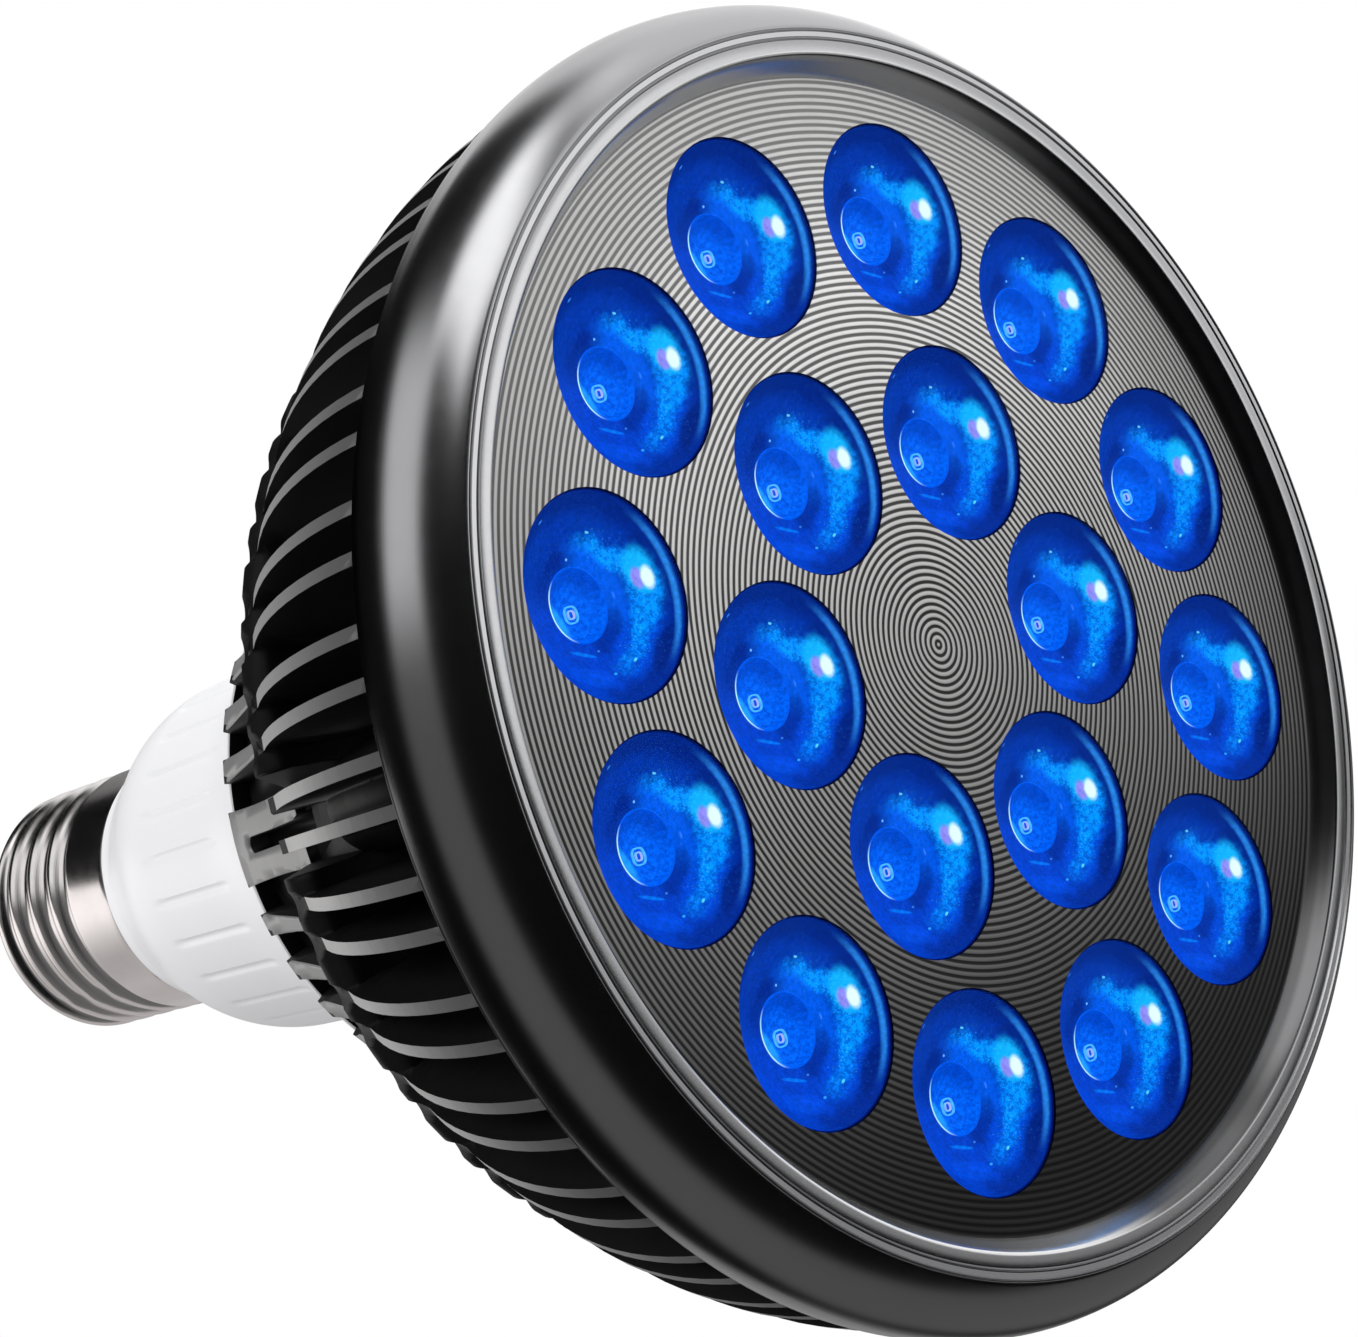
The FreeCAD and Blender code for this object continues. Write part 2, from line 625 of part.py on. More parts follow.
def make_driver_board():
    """The driver's circuit board, on edge in the collar's rails."""
    length = DRIVER_BACK_Z - DRIVER_FRONT_Z
    corner = Vector(-DRIVER_HALF_WIDTH, DRIVER_Y, DRIVER_FRONT_Z)
    return Part.makeBox(2 * DRIVER_HALF_WIDTH, DRIVER_THICKNESS, length, corner)


def make_transformer():
    """The driver's transformer: a ferrite frame round a wound bobbin."""
    base_y = DRIVER_Y + DRIVER_THICKNESS
    bobbin_z = TRANSFORMER_Z + (TRANSFORMER_CORE[2] - TRANSFORMER_BOBBIN[2]) / 2
    core = Part.makeBox(*TRANSFORMER_CORE, Vector(-TRANSFORMER_CORE[0] / 2, base_y, TRANSFORMER_Z))
    bobbin = Part.makeBox(*TRANSFORMER_BOBBIN, Vector(-TRANSFORMER_BOBBIN[0] / 2, base_y, bobbin_z))
    return core.fuse(bobbin).removeSplitter()


def make_capacitor():
    """The driver's round electrolytic capacitor, lying on the board."""
    middle_y = DRIVER_Y + DRIVER_THICKNESS + CAPACITOR_RADIUS
    return Part.makeCylinder(CAPACITOR_RADIUS, CAPACITOR_LENGTH, Vector(0, middle_y, CAPACITOR_Z))


def wire_along(points):
    """A lead of straight runs joined by tangent arcs, in the plane of each bend."""
    edges = []
    here = points[0]
    for index in range(1, len(points) - 1):
        before = (points[index - 1] - points[index])
        after = (points[index + 1] - points[index])
        turn = math.pi - before.getAngle(after)
        reach = 0.45 * min(before.Length, after.Length)
        radius = reach / math.tan(turn / 2)
        to_before = before.normalize()
        to_after = after.normalize()
        first = points[index] + to_before * reach
        last = points[index] + to_after * reach
        bisector = (to_before + to_after).normalize()
        middle = points[index] + bisector * (math.hypot(radius, reach) - radius)
        edges.append(Part.LineSegment(here, first).toShape())
        edges.append(Part.Arc(first, middle, last).toShape())
        here = last
    edges.append(Part.LineSegment(here, points[-1]).toShape())
    path = Part.Wire(edges)
    direction = points[1] - points[0]
    disc = Part.Wire(Part.makeCircle(WIRE_RADIUS, points[0], direction))
    return path.makePipeShell([disc], True, True)


def make_leads():
    """Four insulated leads: two from the base to the driver, two from the driver to the board."""
    top = DRIVER_Y - WIRE_RADIUS
    rear = DRIVER_BACK_Z - WIRE_ON_BOARD
    front = DRIVER_FRONT_Z + WIRE_ON_BOARD
    shell_side = SHELL_SHEET + WIRE_RADIUS - SHELL_CREST_RADIUS + 0.03
    hole_side = WIRE_HOLE_RADIUS - WIRE_RADIUS - 0.05
    led_end = BOARD_Z + 0.4
    return {
        "live_lead": wire_along([
            Vector(0, 0, CONTACT_STEM_Z), Vector(0, 0, 118.0),
            Vector(2.5, top, 108.0), Vector(2.5, top, rear)]),
        "neutral_lead": wire_along([
            Vector(shell_side, 0, 124.0), Vector(shell_side, 0, 119.5), Vector(-8.0, 0, 112.0),
            Vector(-4.0, top, 106.0), Vector(-4.0, top, rear)]),
        "led_lead_red": wire_along([
            Vector(4.0, top, front), Vector(4.0, top, 38.0),
            Vector(hole_side, 0, 28.0), Vector(hole_side, 0, led_end)]),
        "led_lead_black": wire_along([
            Vector(-4.0, top, front), Vector(-4.0, top, 38.0),
            Vector(-hole_side, 0, 28.0), Vector(-hole_side, 0, led_end)]),
    }


def main():
    """Make every piece and write it to its file."""
    save("bezel_ring", make_bezel())
    save("face_plate", make_face_plate())
    lens = make_lens()
    led = make_led()
    for number, (radius, angle) in enumerate(lens_places(), start=1):
        for name, piece in (("lens", lens), ("led", led)):
            placed = piece.copy()
            placed.translate(Vector(radius, 0, 0))
            save("%s_%02d" % (name, number), turn_about_axis(placed, angle))
    save("led_board", make_led_board())
    save("thermal_pad", make_thermal_pad())
    save("board_screws", make_board_screws())
    save("heat_sink", make_heat_sink())
    save("collar", make_collar())
    save("screw_shell", make_shell())
    save("base_insulator", make_insulator())
    save("centre_contact", make_contact())
    save("driver_board", make_driver_board())
    save("driver_transformer", make_transformer())
    save("driver_capacitor", make_capacitor())
    for name, lead in make_leads().items():
        save(name, lead)


main()
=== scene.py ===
"""Grow light bulb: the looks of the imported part, laid out as an add-on and run as a script."""

import math

import bmesh
import bpy
from bpy.props import FloatProperty, FloatVectorProperty, IntProperty, PointerProperty
from mathutils import Matrix, Vector


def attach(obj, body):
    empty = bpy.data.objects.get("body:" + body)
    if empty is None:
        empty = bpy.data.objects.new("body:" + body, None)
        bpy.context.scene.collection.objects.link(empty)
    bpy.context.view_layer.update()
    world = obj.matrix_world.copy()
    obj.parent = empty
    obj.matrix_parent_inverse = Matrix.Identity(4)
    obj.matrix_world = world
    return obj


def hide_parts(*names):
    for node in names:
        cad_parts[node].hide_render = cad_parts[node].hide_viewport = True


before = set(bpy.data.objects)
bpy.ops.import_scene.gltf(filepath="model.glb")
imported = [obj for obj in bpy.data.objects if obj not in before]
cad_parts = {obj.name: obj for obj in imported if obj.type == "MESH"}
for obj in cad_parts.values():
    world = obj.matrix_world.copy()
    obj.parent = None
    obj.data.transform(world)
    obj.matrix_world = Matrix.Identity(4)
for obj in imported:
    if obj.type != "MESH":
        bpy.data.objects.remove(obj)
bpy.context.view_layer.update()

bl_info = {
    "name": "Grow light bulb",
    "version": (1, 0, 0),
    "blender": (4, 5, 0),
    "location": "3D View > Sidebar > Bulb",
    "description": "Dresses the packed grow light bulb with its visual pieces and materials",
    "category": "Object",
}

MM = 0.001
# How far a light source sits off its lens's middle, in millimetres.
SOURCE_SHIFT = 0.55


class BulbFace(bpy.types.PropertyGroup):
    """Sizes and colours of the lit face."""

    groove_pitch: FloatProperty(
        name="Groove pitch", description="Distance between the turned rings of the plate",
        default=0.668 * MM, unit="LENGTH", precision=6)
    # Painted reflection and shade of the plate: the colours of its bright ridges and its dark grooves.
    plate_light: FloatVectorProperty(
        name="Plate ridges", description="Colour of the bright ridges of the plate",
        default=(0.97, 0.965, 0.96), size=3, subtype="COLOR", min=0, max=1)
    plate_dark: FloatVectorProperty(
        name="Plate grooves", description="Colour at the bottom of the plate's rings",
        default=(0.020, 0.020, 0.020), size=3, subtype="COLOR", min=0, max=1)
    bezel_colour: FloatVectorProperty(
        name="Bezel", description="Colour of the glossy rim",
        default=(0.42, 0.42, 0.43), size=3, subtype="COLOR", min=0, max=1)
    lens_radius: FloatProperty(
        name="Lens radius", description="Radius of one lens",
        default=9.0 * MM, unit="LENGTH", precision=6)
    lens_front: FloatProperty(
        name="Lens front", description="Height of the lenses' edge behind the bezel's front",
        default=2.2 * MM, unit="LENGTH", precision=6)
    lens_crown: FloatProperty(
        name="Lens crown", description="How far the middle of a lens stands out from its edge",
        default=0.8 * MM, unit="LENGTH", precision=6)
    well_radius: FloatProperty(
        name="Well radius", description="Radius of the well over the light source",
        default=3.1 * MM, unit="LENGTH", precision=6)
    well_depth: FloatProperty(
        name="Well depth", description="Depth of the well's edge behind the lens's edge",
        default=3.5 * MM, unit="LENGTH", precision=6)
    outer_ring: FloatProperty(
        name="Outer ring", description="Radius of the outer ring of lenses",
        default=39.65 * MM, unit="LENGTH", precision=6)
    inner_ring: FloatProperty(
        name="Inner ring", description="Radius of the inner ring of lenses",
        default=19.87 * MM, unit="LENGTH", precision=6)
    outer_count: IntProperty(
        name="Outer lenses", description="Lenses in the outer ring", default=12, min=1)
    inner_count: IntProperty(
        name="Inner lenses", description="Lenses in the inner ring", default=6, min=1)
    outer_turn: FloatProperty(
        name="Outer turn", description="Turn of the outer ring against the inner one",
        default=math.radians(16.06), subtype="ANGLE")
    # The lens blues glow as painted light; the deep blue is their painted shade and the light blue their
    # painted glowing band.
    lens_deep: FloatVectorProperty(
        name="Deep blue", description="Colour of the lenses in their dark parts",
        default=(0.0, 0.012, 0.18), size=3, subtype="COLOR", min=0, max=1)
    lens_royal: FloatVectorProperty(
        name="Royal blue", description="Main colour of the lenses",
        default=(0.0, 0.056, 0.60), size=3, subtype="COLOR", min=0, max=1)
    lens_cyan: FloatVectorProperty(
        name="Light blue", description="Colour of the lenses in their bright band",
        default=(0.0, 0.40, 1.0), size=3, subtype="COLOR", min=0, max=1)


class BulbBody(bpy.types.PropertyGroup):
    """Sizes and colours of the heat sink, the collar and the screw base."""

    casting_colour: FloatVectorProperty(
        name="Casting", description="Colour of the coated casting",
        default=(0.006, 0.006, 0.0065), size=3, subtype="COLOR", min=0, max=1)
    bare_colour: FloatVectorProperty(
        name="Bare metal", description="Colour of the turned edges of the fins",
        default=(0.34, 0.34, 0.34), size=3, subtype="COLOR", min=0, max=1)
    rear_colour: FloatVectorProperty(
        name="Rear lands", description="Colour of the turned lands of the rear stage",
        default=(0.42, 0.42, 0.42), size=3, subtype="COLOR", min=0, max=1)
    bare_depth: FloatProperty(
        name="Bare depth", description="How deep under the turned outline the metal is bare",
        default=0.22 * MM, unit="LENGTH", precision=6)
    collar_colour: FloatVectorProperty(
        name="Collar", description="Colour of the plastic collar",
        default=(0.93, 0.93, 0.955), size=3, subtype="COLOR", min=0, max=1)
    flute_count: IntProperty(
        name="Flutes", description="Shallow grooves round the collar's waist", default=26, min=1)
    flute_depth: FloatProperty(
        name="Flute depth", description="Depth of the collar's grooves",
        default=0.22 * MM, unit="LENGTH", precision=6)
    flute_turn: FloatProperty(
        name="Flute turn", description="Angle of the first groove",
        default=math.radians(7.5), subtype="ANGLE")
    nickel_colour: FloatVectorProperty(
        name="Nickel", description="Colour of the plated screw shell",
        default=(0.80, 0.765, 0.76), size=3, subtype="COLOR", min=0, max=1)
    thread_pitch: FloatProperty(
        name="Thread pitch", description="Rise of the lamp screw in one turn",
        default=3.629 * MM, unit="LENGTH", precision=6)
    thread_depth: FloatProperty(
        name="Thread depth", description="Height of the lamp screw's crests over its roots",
        default=0.9 * MM, unit="LENGTH", precision=6)


class BulbStage(bpy.types.PropertyGroup):
    """The camera's place, and the level of the light all round."""

    camera_place: FloatVectorProperty(
        name="Camera", description="Where the camera stands",
        default=(0.26570, -0.00614, -0.22181), size=3, subtype="XYZ", unit="LENGTH")
    camera_right: FloatVectorProperty(
        name="Camera right", description="Direction that is to the right in the picture",
        default=(-0.67061, -0.28299, -0.68571), size=3, subtype="DIRECTION")
    camera_up: FloatVectorProperty(
        name="Camera up", description="Direction that is up in the picture",
        default=(-0.17501, 0.95864, -0.22448), size=3, subtype="DIRECTION")
    focal_length: FloatProperty(
        name="Focal length", description="The camera's focal length on a 36 mm sensor",
        default=104.49, min=1)
    world_level: FloatProperty(
        name="World level", description="How much light comes from all round", default=0.54, min=0)


def rgba(colour, share=1.0):
    """A colour, or a share of it, with full alpha."""
    return (colour[0] * share, colour[1] * share, colour[2] * share, 1.0)


class Nodes:
    """Short way to write a node tree: each call adds nodes and wires their inputs."""

    def __init__(self, tree):
        self.tree = tree

    def feed(self, socket, value):
        """Link an output to a socket, or set the socket's own value."""
        if isinstance(value, bpy.types.NodeSocket):
            self.tree.links.new(value, socket)
        else:
            socket.default_value = value

    def add(self, kind, inputs=None, **settings):
        """Add a node. An input is a value or an output socket to link from."""
        node = self.tree.nodes.new(kind)
        for name, value in settings.items():
            setattr(node, name, value)
        for key, value in (inputs or {}).items():
            self.feed(node.inputs[key], value)
        return node

    def out(self, kind, inputs=None, **settings):
        """Add a node and give its first output."""
        return self.add(kind, inputs, **settings).outputs[0]

    def math(self, operation, *values, clamp=False):
        """A Math node's output."""
        return self.add("ShaderNodeMath", dict(enumerate(values)),
                        operation=operation, use_clamp=clamp).outputs[0]

    def times(self, first, second, clamp=False):
        """The product of two values."""
        return self.math("MULTIPLY", first, second, clamp=clamp)

    def times_plus(self, first, second, third):
        """The product of two values, plus a third."""
        return self.math("MULTIPLY_ADD", first, second, third)

    def minus(self, first, second):
        """The difference of two values."""
        return self.math("SUBTRACT", first, second)

    def above(self, value, limit):
        """1 where a value is above a limit."""
        return self.math("GREATER_THAN", value, limit)

    def below(self, value, limit):
        """1 where a value is below a limit."""
        return self.math("LESS_THAN", value, limit)

    def split(self, vector):
        """The three parts of a vector."""
        return self.add("ShaderNodeSeparateXYZ", {0: vector}).outputs

    def vector(self, parts):
        """A vector from some of its parts, the others 0."""
        return self.out("ShaderNodeCombineXYZ", parts)

    def diagonal(self, parts):
        """The length of a vector's first two parts together."""
        squares = [self.times(part, part) for part in (parts[0], parts[1])]
        return self.math("SQRT", self.math("ADD", *squares))

    def mix(self, factor, first, second):
        """A colour between two, by a factor. Each is an output or a plain colour."""
        pair = [c if isinstance(c, bpy.types.NodeSocket) else rgba(c) for c in (first, second)]
        node = self.add("ShaderNodeMix", {0: factor, 6: pair[0], 7: pair[1]}, data_type="RGBA")
        return node.outputs[2]

    def layers(self, colour, rows):
        """A colour with others laid over it in order. Each row is a factor and a colour."""
        for factor, tint in rows:
            colour = self.mix(factor, colour, tint)
        return colour

    def smooth(self, value, low, high):
        """A value taken smoothly from 0 at low to 1 at high."""
        node = self.add("ShaderNodeMapRange", {0: value, 1: low, 2: high, 3: 0.0, 4: 1.0},
                        interpolation_type="SMOOTHSTEP")
        return node.outputs[0]

    def noise(self, vector, scale, detail=2.0, roughness=0.5):
        """A noise value about 0.5 on a vector."""
        return self.add("ShaderNodeTexNoise", {"Scale": scale, "Detail": detail, "Roughness": roughness,
                                               "Vector": vector}).outputs["Fac"]

    def bump(self, height, distance, strength):
        """A bumped normal from a height in metres."""
        return self.out("ShaderNodeBump", {"Strength": strength, "Distance": distance,
                                           "Height": height})

    def place(self):
        """The object coordinates."""
        return self.add("ShaderNodeTexCoord").outputs["Object"]

    def axis_place(self):
        """The object coordinates, their three parts, and their radius about the axis."""
        here = self.place()
        parts = self.split(here)
        return here, parts, self.diagonal(parts)

    def lens_place(self):
        """A lens's own place in millimetres, and its three parts."""
        local = self.add("ShaderNodeAttribute", attribute_name="lens_place").outputs["Vector"]
        return local, self.split(local)

    def lens_angle(self, parts):
        """The angle of a lens's own place from the lens's far side, in radians."""
        return self.math("ARCTAN2", parts[1], self.times(parts[0], -1.0))

    def facing(self, angle, middle, fade, full):
        """1 within the full degrees of a middle angle, falling to 0 at the fade degrees."""
        swing = self.math("COSINE", self.minus(angle, math.radians(middle)))
        return self.smooth(swing, math.cos(math.radians(fade)), math.cos(math.radians(full)))

    def hoop(self, radius, middle, width):
        """1 on a circle, falling smoothly to 0 at a width to both sides of it."""
        off = self.math("ABSOLUTE", self.minus(radius, middle))
        return self.smooth(off, width, self.times(width, 0.15))

    def patch(self, parts, angle, radius, along, across):
        """A soft oval patch that lies along the lens's circle, at an angle and radius."""
        turn = math.radians(180 - angle)
        east = self.minus(parts[0], radius * math.cos(turn))
        north = self.minus(parts[1], radius * math.sin(turn))
        out = self.times_plus(north, math.sin(turn), self.times(east, math.cos(turn)))
        side = self.times_plus(north, math.cos(turn), self.times(east, -math.sin(turn)))
        off = self.diagonal((self.math("DIVIDE", out, across), self.math("DIVIDE", side, along)))
        return self.smooth(off, 1.25, 0.65)

    def arc_reach(self, height, hub):
        """How far a turned arc stands off its hub's radius at a height."""
        drop = self.minus(height, hub[1] * MM)
        return self.math("SQRT", self.minus((hub[2] * MM) ** 2, self.times(drop, drop)))


def arc_hub(first, second, third):
    """Centre and radius of the circle through three points."""
    (ax, ay), (bx, by), (cx, cy) = first, second, third
    turn = 2 * (ax * (by - cy) + bx * (cy - ay) + cx * (ay - by))
    sa, sb, sc = ax * ax + ay * ay, bx * bx + by * by, cx * cx + cy * cy
    hub_x = (sa * (by - cy) + sb * (cy - ay) + sc * (ay - by)) / turn
    hub_y = (sa * (cx - bx) + sb * (ax - cx) + sc * (bx - ax)) / turn
    return hub_x, hub_y, math.hypot(ax - hub_x, ay - hub_y)


# The arcs to which the casting is turned, in millimetres: radius and height of the hub, and radius.
FRONT_HUB = (13.2, 8.0, 46.0)
REAR_HUB = arc_hub((36.7, 49.6), (32.4, 58.6), (29.0, 67.7))
# Heights in millimetres: the front fins' end, the meeting of the two stages, and the first rear land.
FRONT_FINS_END = 34.45
STAGES_MEET = 40.0
REAR_LANDS_START = 48.4


def new_material(name):
    """A material with an empty Principled shader, and its node writer."""
    material = bpy.data.materials.new(name)
    material.use_nodes = True
    write = Nodes(material.node_tree)
    shader = material.node_tree.nodes["Principled BSDF"]
    return material, write, shader


def wire(write, shader, **inputs):
    """Set or link the shader's inputs. Underscores in the names stand for spaces."""
    for key, value in inputs.items():
        write.feed(shader.inputs[key.replace("_", " ")], value)


def set_surface(material, surface, unused=None):
    """Link a surface to the material's output and take an unused shader away."""
    nodes = material.node_tree.nodes
    material.node_tree.links.new(surface, nodes["Material Output"].inputs["Surface"])
    if unused is not None:
        nodes.remove(unused)


def finish_piece(obj, nodes):
    """Fix a made piece to the bulb's one body and let it stand for its CAD nodes."""
    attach(obj, "root")
    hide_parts(*nodes)


def link_mesh(name, mesh, material):
    """An object at the origin for a finished mesh."""
    if material is not None:
        mesh.materials.clear()
        mesh.materials.append(material)
    obj = bpy.data.objects.new(name, mesh)
    bpy.context.scene.collection.objects.link(obj)
    return obj


def arc_points(start, middle, end, count):
    """Points along the arc through three (radius, height) points, the first left out."""
    hub_x, hub_y, radius = arc_hub(start, middle, end)
    first = math.atan2(start[1] - hub_y, start[0] - hub_x)
    mid = math.atan2(middle[1] - hub_y, middle[0] - hub_x)
    last = math.atan2(end[1] - hub_y, end[0] - hub_x)
    mid = first + math.remainder(mid - first, math.tau)
    last = mid + math.remainder(last - mid, math.tau)
    points = []
    for index in range(1, count + 1):
        angle = first + (last - first) * index / count
        points.append((hub_x + radius * math.cos(angle), hub_y + radius * math.sin(angle)))
    return points


def line_points(start, end, count):
    """Points along a straight run, the first left out."""
    return [(start[0] + (end[0] - start[0]) * i / count, start[1] + (end[1] - start[1]) * i / count)
            for i in range(1, count + 1)]


def mesh_of(name, builder):
    """A new mesh from a mesh builder, which is then freed."""
    mesh = bpy.data.meshes.new(name)
    builder.to_mesh(mesh)
    builder.free()
    return mesh


def lathe(name, profile, segments, closed):
    """A mesh turned about the Z axis from (radius, height) points in millimetres."""
    builder = bmesh.new()
    rings = []
    for radius, height in profile:
        if radius < 1e-6:
            rings.append([builder.verts.new((0, 0, height * MM))])
            continue
        ring = []
        for index in range(segments):
            angle = math.tau * index / segments
            place_at = (radius * MM * math.cos(angle), radius * MM * math.sin(angle), height * MM)
            ring.append(builder.verts.new(place_at))
        rings.append(ring)
    pairs = list(zip(rings, rings[1:]))
    if closed:
        pairs.append((rings[-1], rings[0]))
    for first, second in pairs:
        for index in range(segments):
            after = (index + 1) % segments
            if len(first) == 1:
                builder.faces.new((first[0], second[after], second[index]))
            elif len(second) == 1:
                builder.faces.new((first[index], first[after], second[0]))
            else:
                builder.faces.new((first[index], first[after], second[after], second[index]))
    bmesh.ops.recalc_face_normals(builder, faces=builder.faces[:])
    mesh = mesh_of(name, builder)
    shade(mesh, 35)
    return mesh


def shade(mesh, degrees):
    """Smooth shading with edges kept sharp past an angle."""
    mesh.polygons.foreach_set("use_smooth", [True] * len(mesh.polygons))
    mesh.set_sharp_from_angle(angle=math.radians(degrees))


class Tree:
    """A geometry node tree with named inputs, run once on an object and turned into a mesh."""

    def __init__(self, name):
        self.tree = bpy.data.node_groups.new(name, "GeometryNodeTree")
        self.tree.interface.new_socket("Geometry", in_out="INPUT", socket_type="NodeSocketGeometry")
        self.tree.interface.new_socket("Geometry", in_out="OUTPUT", socket_type="NodeSocketGeometry")
        self.write = Nodes(self.tree)
        self.names = {}

    def input(self, name, kind, value):
        """Declare a named input and remember its value."""
        socket = self.tree.interface.new_socket(name, in_out="INPUT", socket_type="NodeSocket" + kind)
        self.names[name] = (socket.identifier, value)

    def begin(self):
        """The group's input node, once every input is declared."""
        return self.write.add("NodeGroupInput")

    def end(self, geometry, material):
        """Close the tree with Realize Instances and Set Material."""
        real = self.write.out("GeometryNodeRealizeInstances", {0: geometry})
        done = self.write.out("GeometryNodeSetMaterial", {"Geometry": real, "Material": material})
        self.write.add("NodeGroupOutput", {0: done})

    def run(self, name, mesh, degrees):
        """Evaluate the tree on a mesh and return a plain object made from the result."""
        carrier = bpy.data.objects.new(name + "_carrier", mesh)
        bpy.context.scene.collection.objects.link(carrier)
        modifier = carrier.modifiers.new("rule", "NODES")
        modifier.node_group = self.tree
        for identifier, value in self.names.values():
            modifier[identifier] = value
        graph = bpy.context.evaluated_depsgraph_get()
        result = bpy.data.meshes.new_from_object(carrier.evaluated_get(graph), depsgraph=graph)
        carrier.modifiers.remove(modifier)
        bpy.data.objects.remove(carrier)
        if not result.polygons:
            raise RuntimeError("the node tree of " + name + " made nothing")
        result.name = name
        shade(result, degrees)
        obj = bpy.data.objects.new(name, result)
        bpy.context.scene.collection.objects.link(obj)
        return obj


def bezel_material(face):
    """Satin graphite metal with faint polishing lines that run round the rim, painted shade on its bore
    wall, back edge and one side of its lip, and painted highlights on two sides of its lip.
    """
    material, write, shader = new_material("bezel_black")
    here, parts, radius = write.axis_place()
    height = parts[2]
    angle = write.math("ARCTAN2", parts[1], parts[0])
    # Painted shade: a near-black tone laid on the back edge and on the lip, each on one side only.
    painted_shade_tone = (0.01, 0.01, 0.01)
    # Painted shade: the deepest part of the bore wall, next to the plate, darkened.
    bore_wall_shade = write.times(write.smooth(radius, 53.3 * MM, 52.6 * MM), write.smooth(height, 0.9 * MM, 1.5 * MM))
    back_edge_shade = write.times(write.smooth(height, 8.6 * MM, 9.4 * MM), write.facing(angle, 0, 42, 22))
    lip = write.smooth(radius, 53.95 * MM, 53.6 * MM)
    shaded = write.times(lip, write.facing(angle, 236, 46, 24))
    # Painted highlights: the lip made near white on two sides.
    glossy = write.math("MAXIMUM", write.facing(angle, 88, 52, 26), write.facing(angle, 298, 34, 18))
    lip_highlight = write.times(lip, glossy)
    base = write.mix(write.noise(here, 90.0, 4.0), rgba(face.bezel_colour, 0.94), face.bezel_colour)
    colour = write.layers(base, (
        (write.times(bore_wall_shade, 0.45), rgba(face.bezel_colour, 0.1)),
        (write.times(back_edge_shade, 0.85), painted_shade_tone),
        (write.times(shaded, 0.72), painted_shade_tone),
        (write.times(lip_highlight, 0.85), (0.92, 0.92, 0.92)),
    ))
    rough = write.times_plus(write.noise(here, 600.0, 3.0), 0.05, 0.20)
    lines = write.noise(write.vector({0: radius, 2: height}), 9000.0)
    normal = write.bump(lines, 0.003 * MM, 0.5)
    wire(write, shader, Base_Color=colour, Metallic=1.0, Roughness=rough, Normal=normal)
    return material


def plate_material(face):
    """Metal turned in concentric rings, with painted reflection bright on the ridges, painted shade dark in
    the grooves, and painted light lighter towards +Y.
    """
    material, write, shader = new_material("turned_plate")
    here, parts, radius = write.axis_place()
    # Painted reflection and shade: the ridges coloured bright and the grooves dark, as the turned rings
    # mirror light and dark.
    phase = write.times(radius, math.tau / face.groove_pitch)
    wave = write.times_plus(write.math("COSINE", phase), 0.5, 0.5)
    ridge = write.smooth(wave, 0.18, 0.82)
    # Painted light: the plate lighter towards +Y and a little towards +X, darker on the opposite side, on
    # its ridges and in its grooves.
    slant = write.times_plus(parts[0], 0.09, parts[1])
    rise = write.smooth(slant, -48.0 * MM, 52.0 * MM)
    outer = write.times_plus(write.smooth(radius, 33.0 * MM, 50.0 * MM), -0.38, 1.0)
    blotch = write.noise(here, 350.0, 5.0, 0.65)
    worn = write.times_plus(blotch, 0.30, 0.85)
    tone = write.times(write.times(rise, outer), worn, clamp=True)
    light = write.mix(tone, rgba(face.plate_light, 0.02), face.plate_light)
    dark = write.layers(face.plate_dark, (
        (write.smooth(slant, 0.0, 52.0 * MM), rgba(face.plate_light, 0.22)),
        (write.smooth(slant, -10.0 * MM, -45.0 * MM), rgba(face.plate_dark, 0.25)),
    ))
    # Painted shade: the plate near black deeper than 2.26 mm, on the walls of its holes.
    behind_face = write.below(parts[2], 2.26 * MM)
    colour = write.mix(behind_face, (0.004, 0.006, 0.012), write.mix(ridge, dark, light))
    rough = write.times_plus(blotch, 0.16, 0.30)
    normal = write.bump(wave, 0.05 * MM, 0.5)
    wire(write, shader, Base_Color=colour, Metallic=0.30, Roughness=rough, Normal=normal,
         Specular_IOR_Level=0.1)
    return material


# Painted light and shade on the lens reflectors: the dark blue patches are painted shade; the light blue,
# violet and white ones are painted glow and highlights.
LENS_PATCHES = (
    # angle in degrees, radius, half length and half width in millimetres, strength, colour
    (112, 4.1, 1.3, 0.55, 0.5, (0.0, 0.010, 0.20)),
    (-42, 7.9, 2.4, 0.55, 0.7, (0.0, 0.012, 0.17)),
    (48, 7.9, 2.2, 0.45, 0.5, (0.0, 0.016, 0.24)),
    (-108, 4.25, 1.5, 0.16, 0.6, (0.0, 0.26, 0.95)),
    (-108, 6.4, 2.4, 0.9, 0.35, (0.0, 0.10, 0.85)),
    (14, 6.75, 2.1, 1.05, 0.80, (0.01, 0.55, 1.0)),
    (9, 6.48, 0.92, 0.50, 0.85, (0.50, 0.24, 0.86)),
    (67, 6.1, 0.22, 0.10, 0.9, (0.20, 0.75, 1.0)),
    (118, 8.0, 0.30, 0.10, 0.7, (0.10, 0.35, 1.0)),
    (90, 3.85, 0.13, 0.12, 0.9, (0.25, 0.55, 1.0)),
    (2, 4.1, 0.30, 0.10, 0.6, (0.08, 0.25, 0.95)),
    (-58, 6.5, 0.24, 0.10, 0.9, (0.15, 0.80, 1.0)),
    (-82, 6.3, 0.20, 0.10, 0.7, (0.05, 0.50, 1.0)),
    (-82, 4.1, 0.16, 0.10, 0.6, (0.10, 0.35, 1.0)),
)


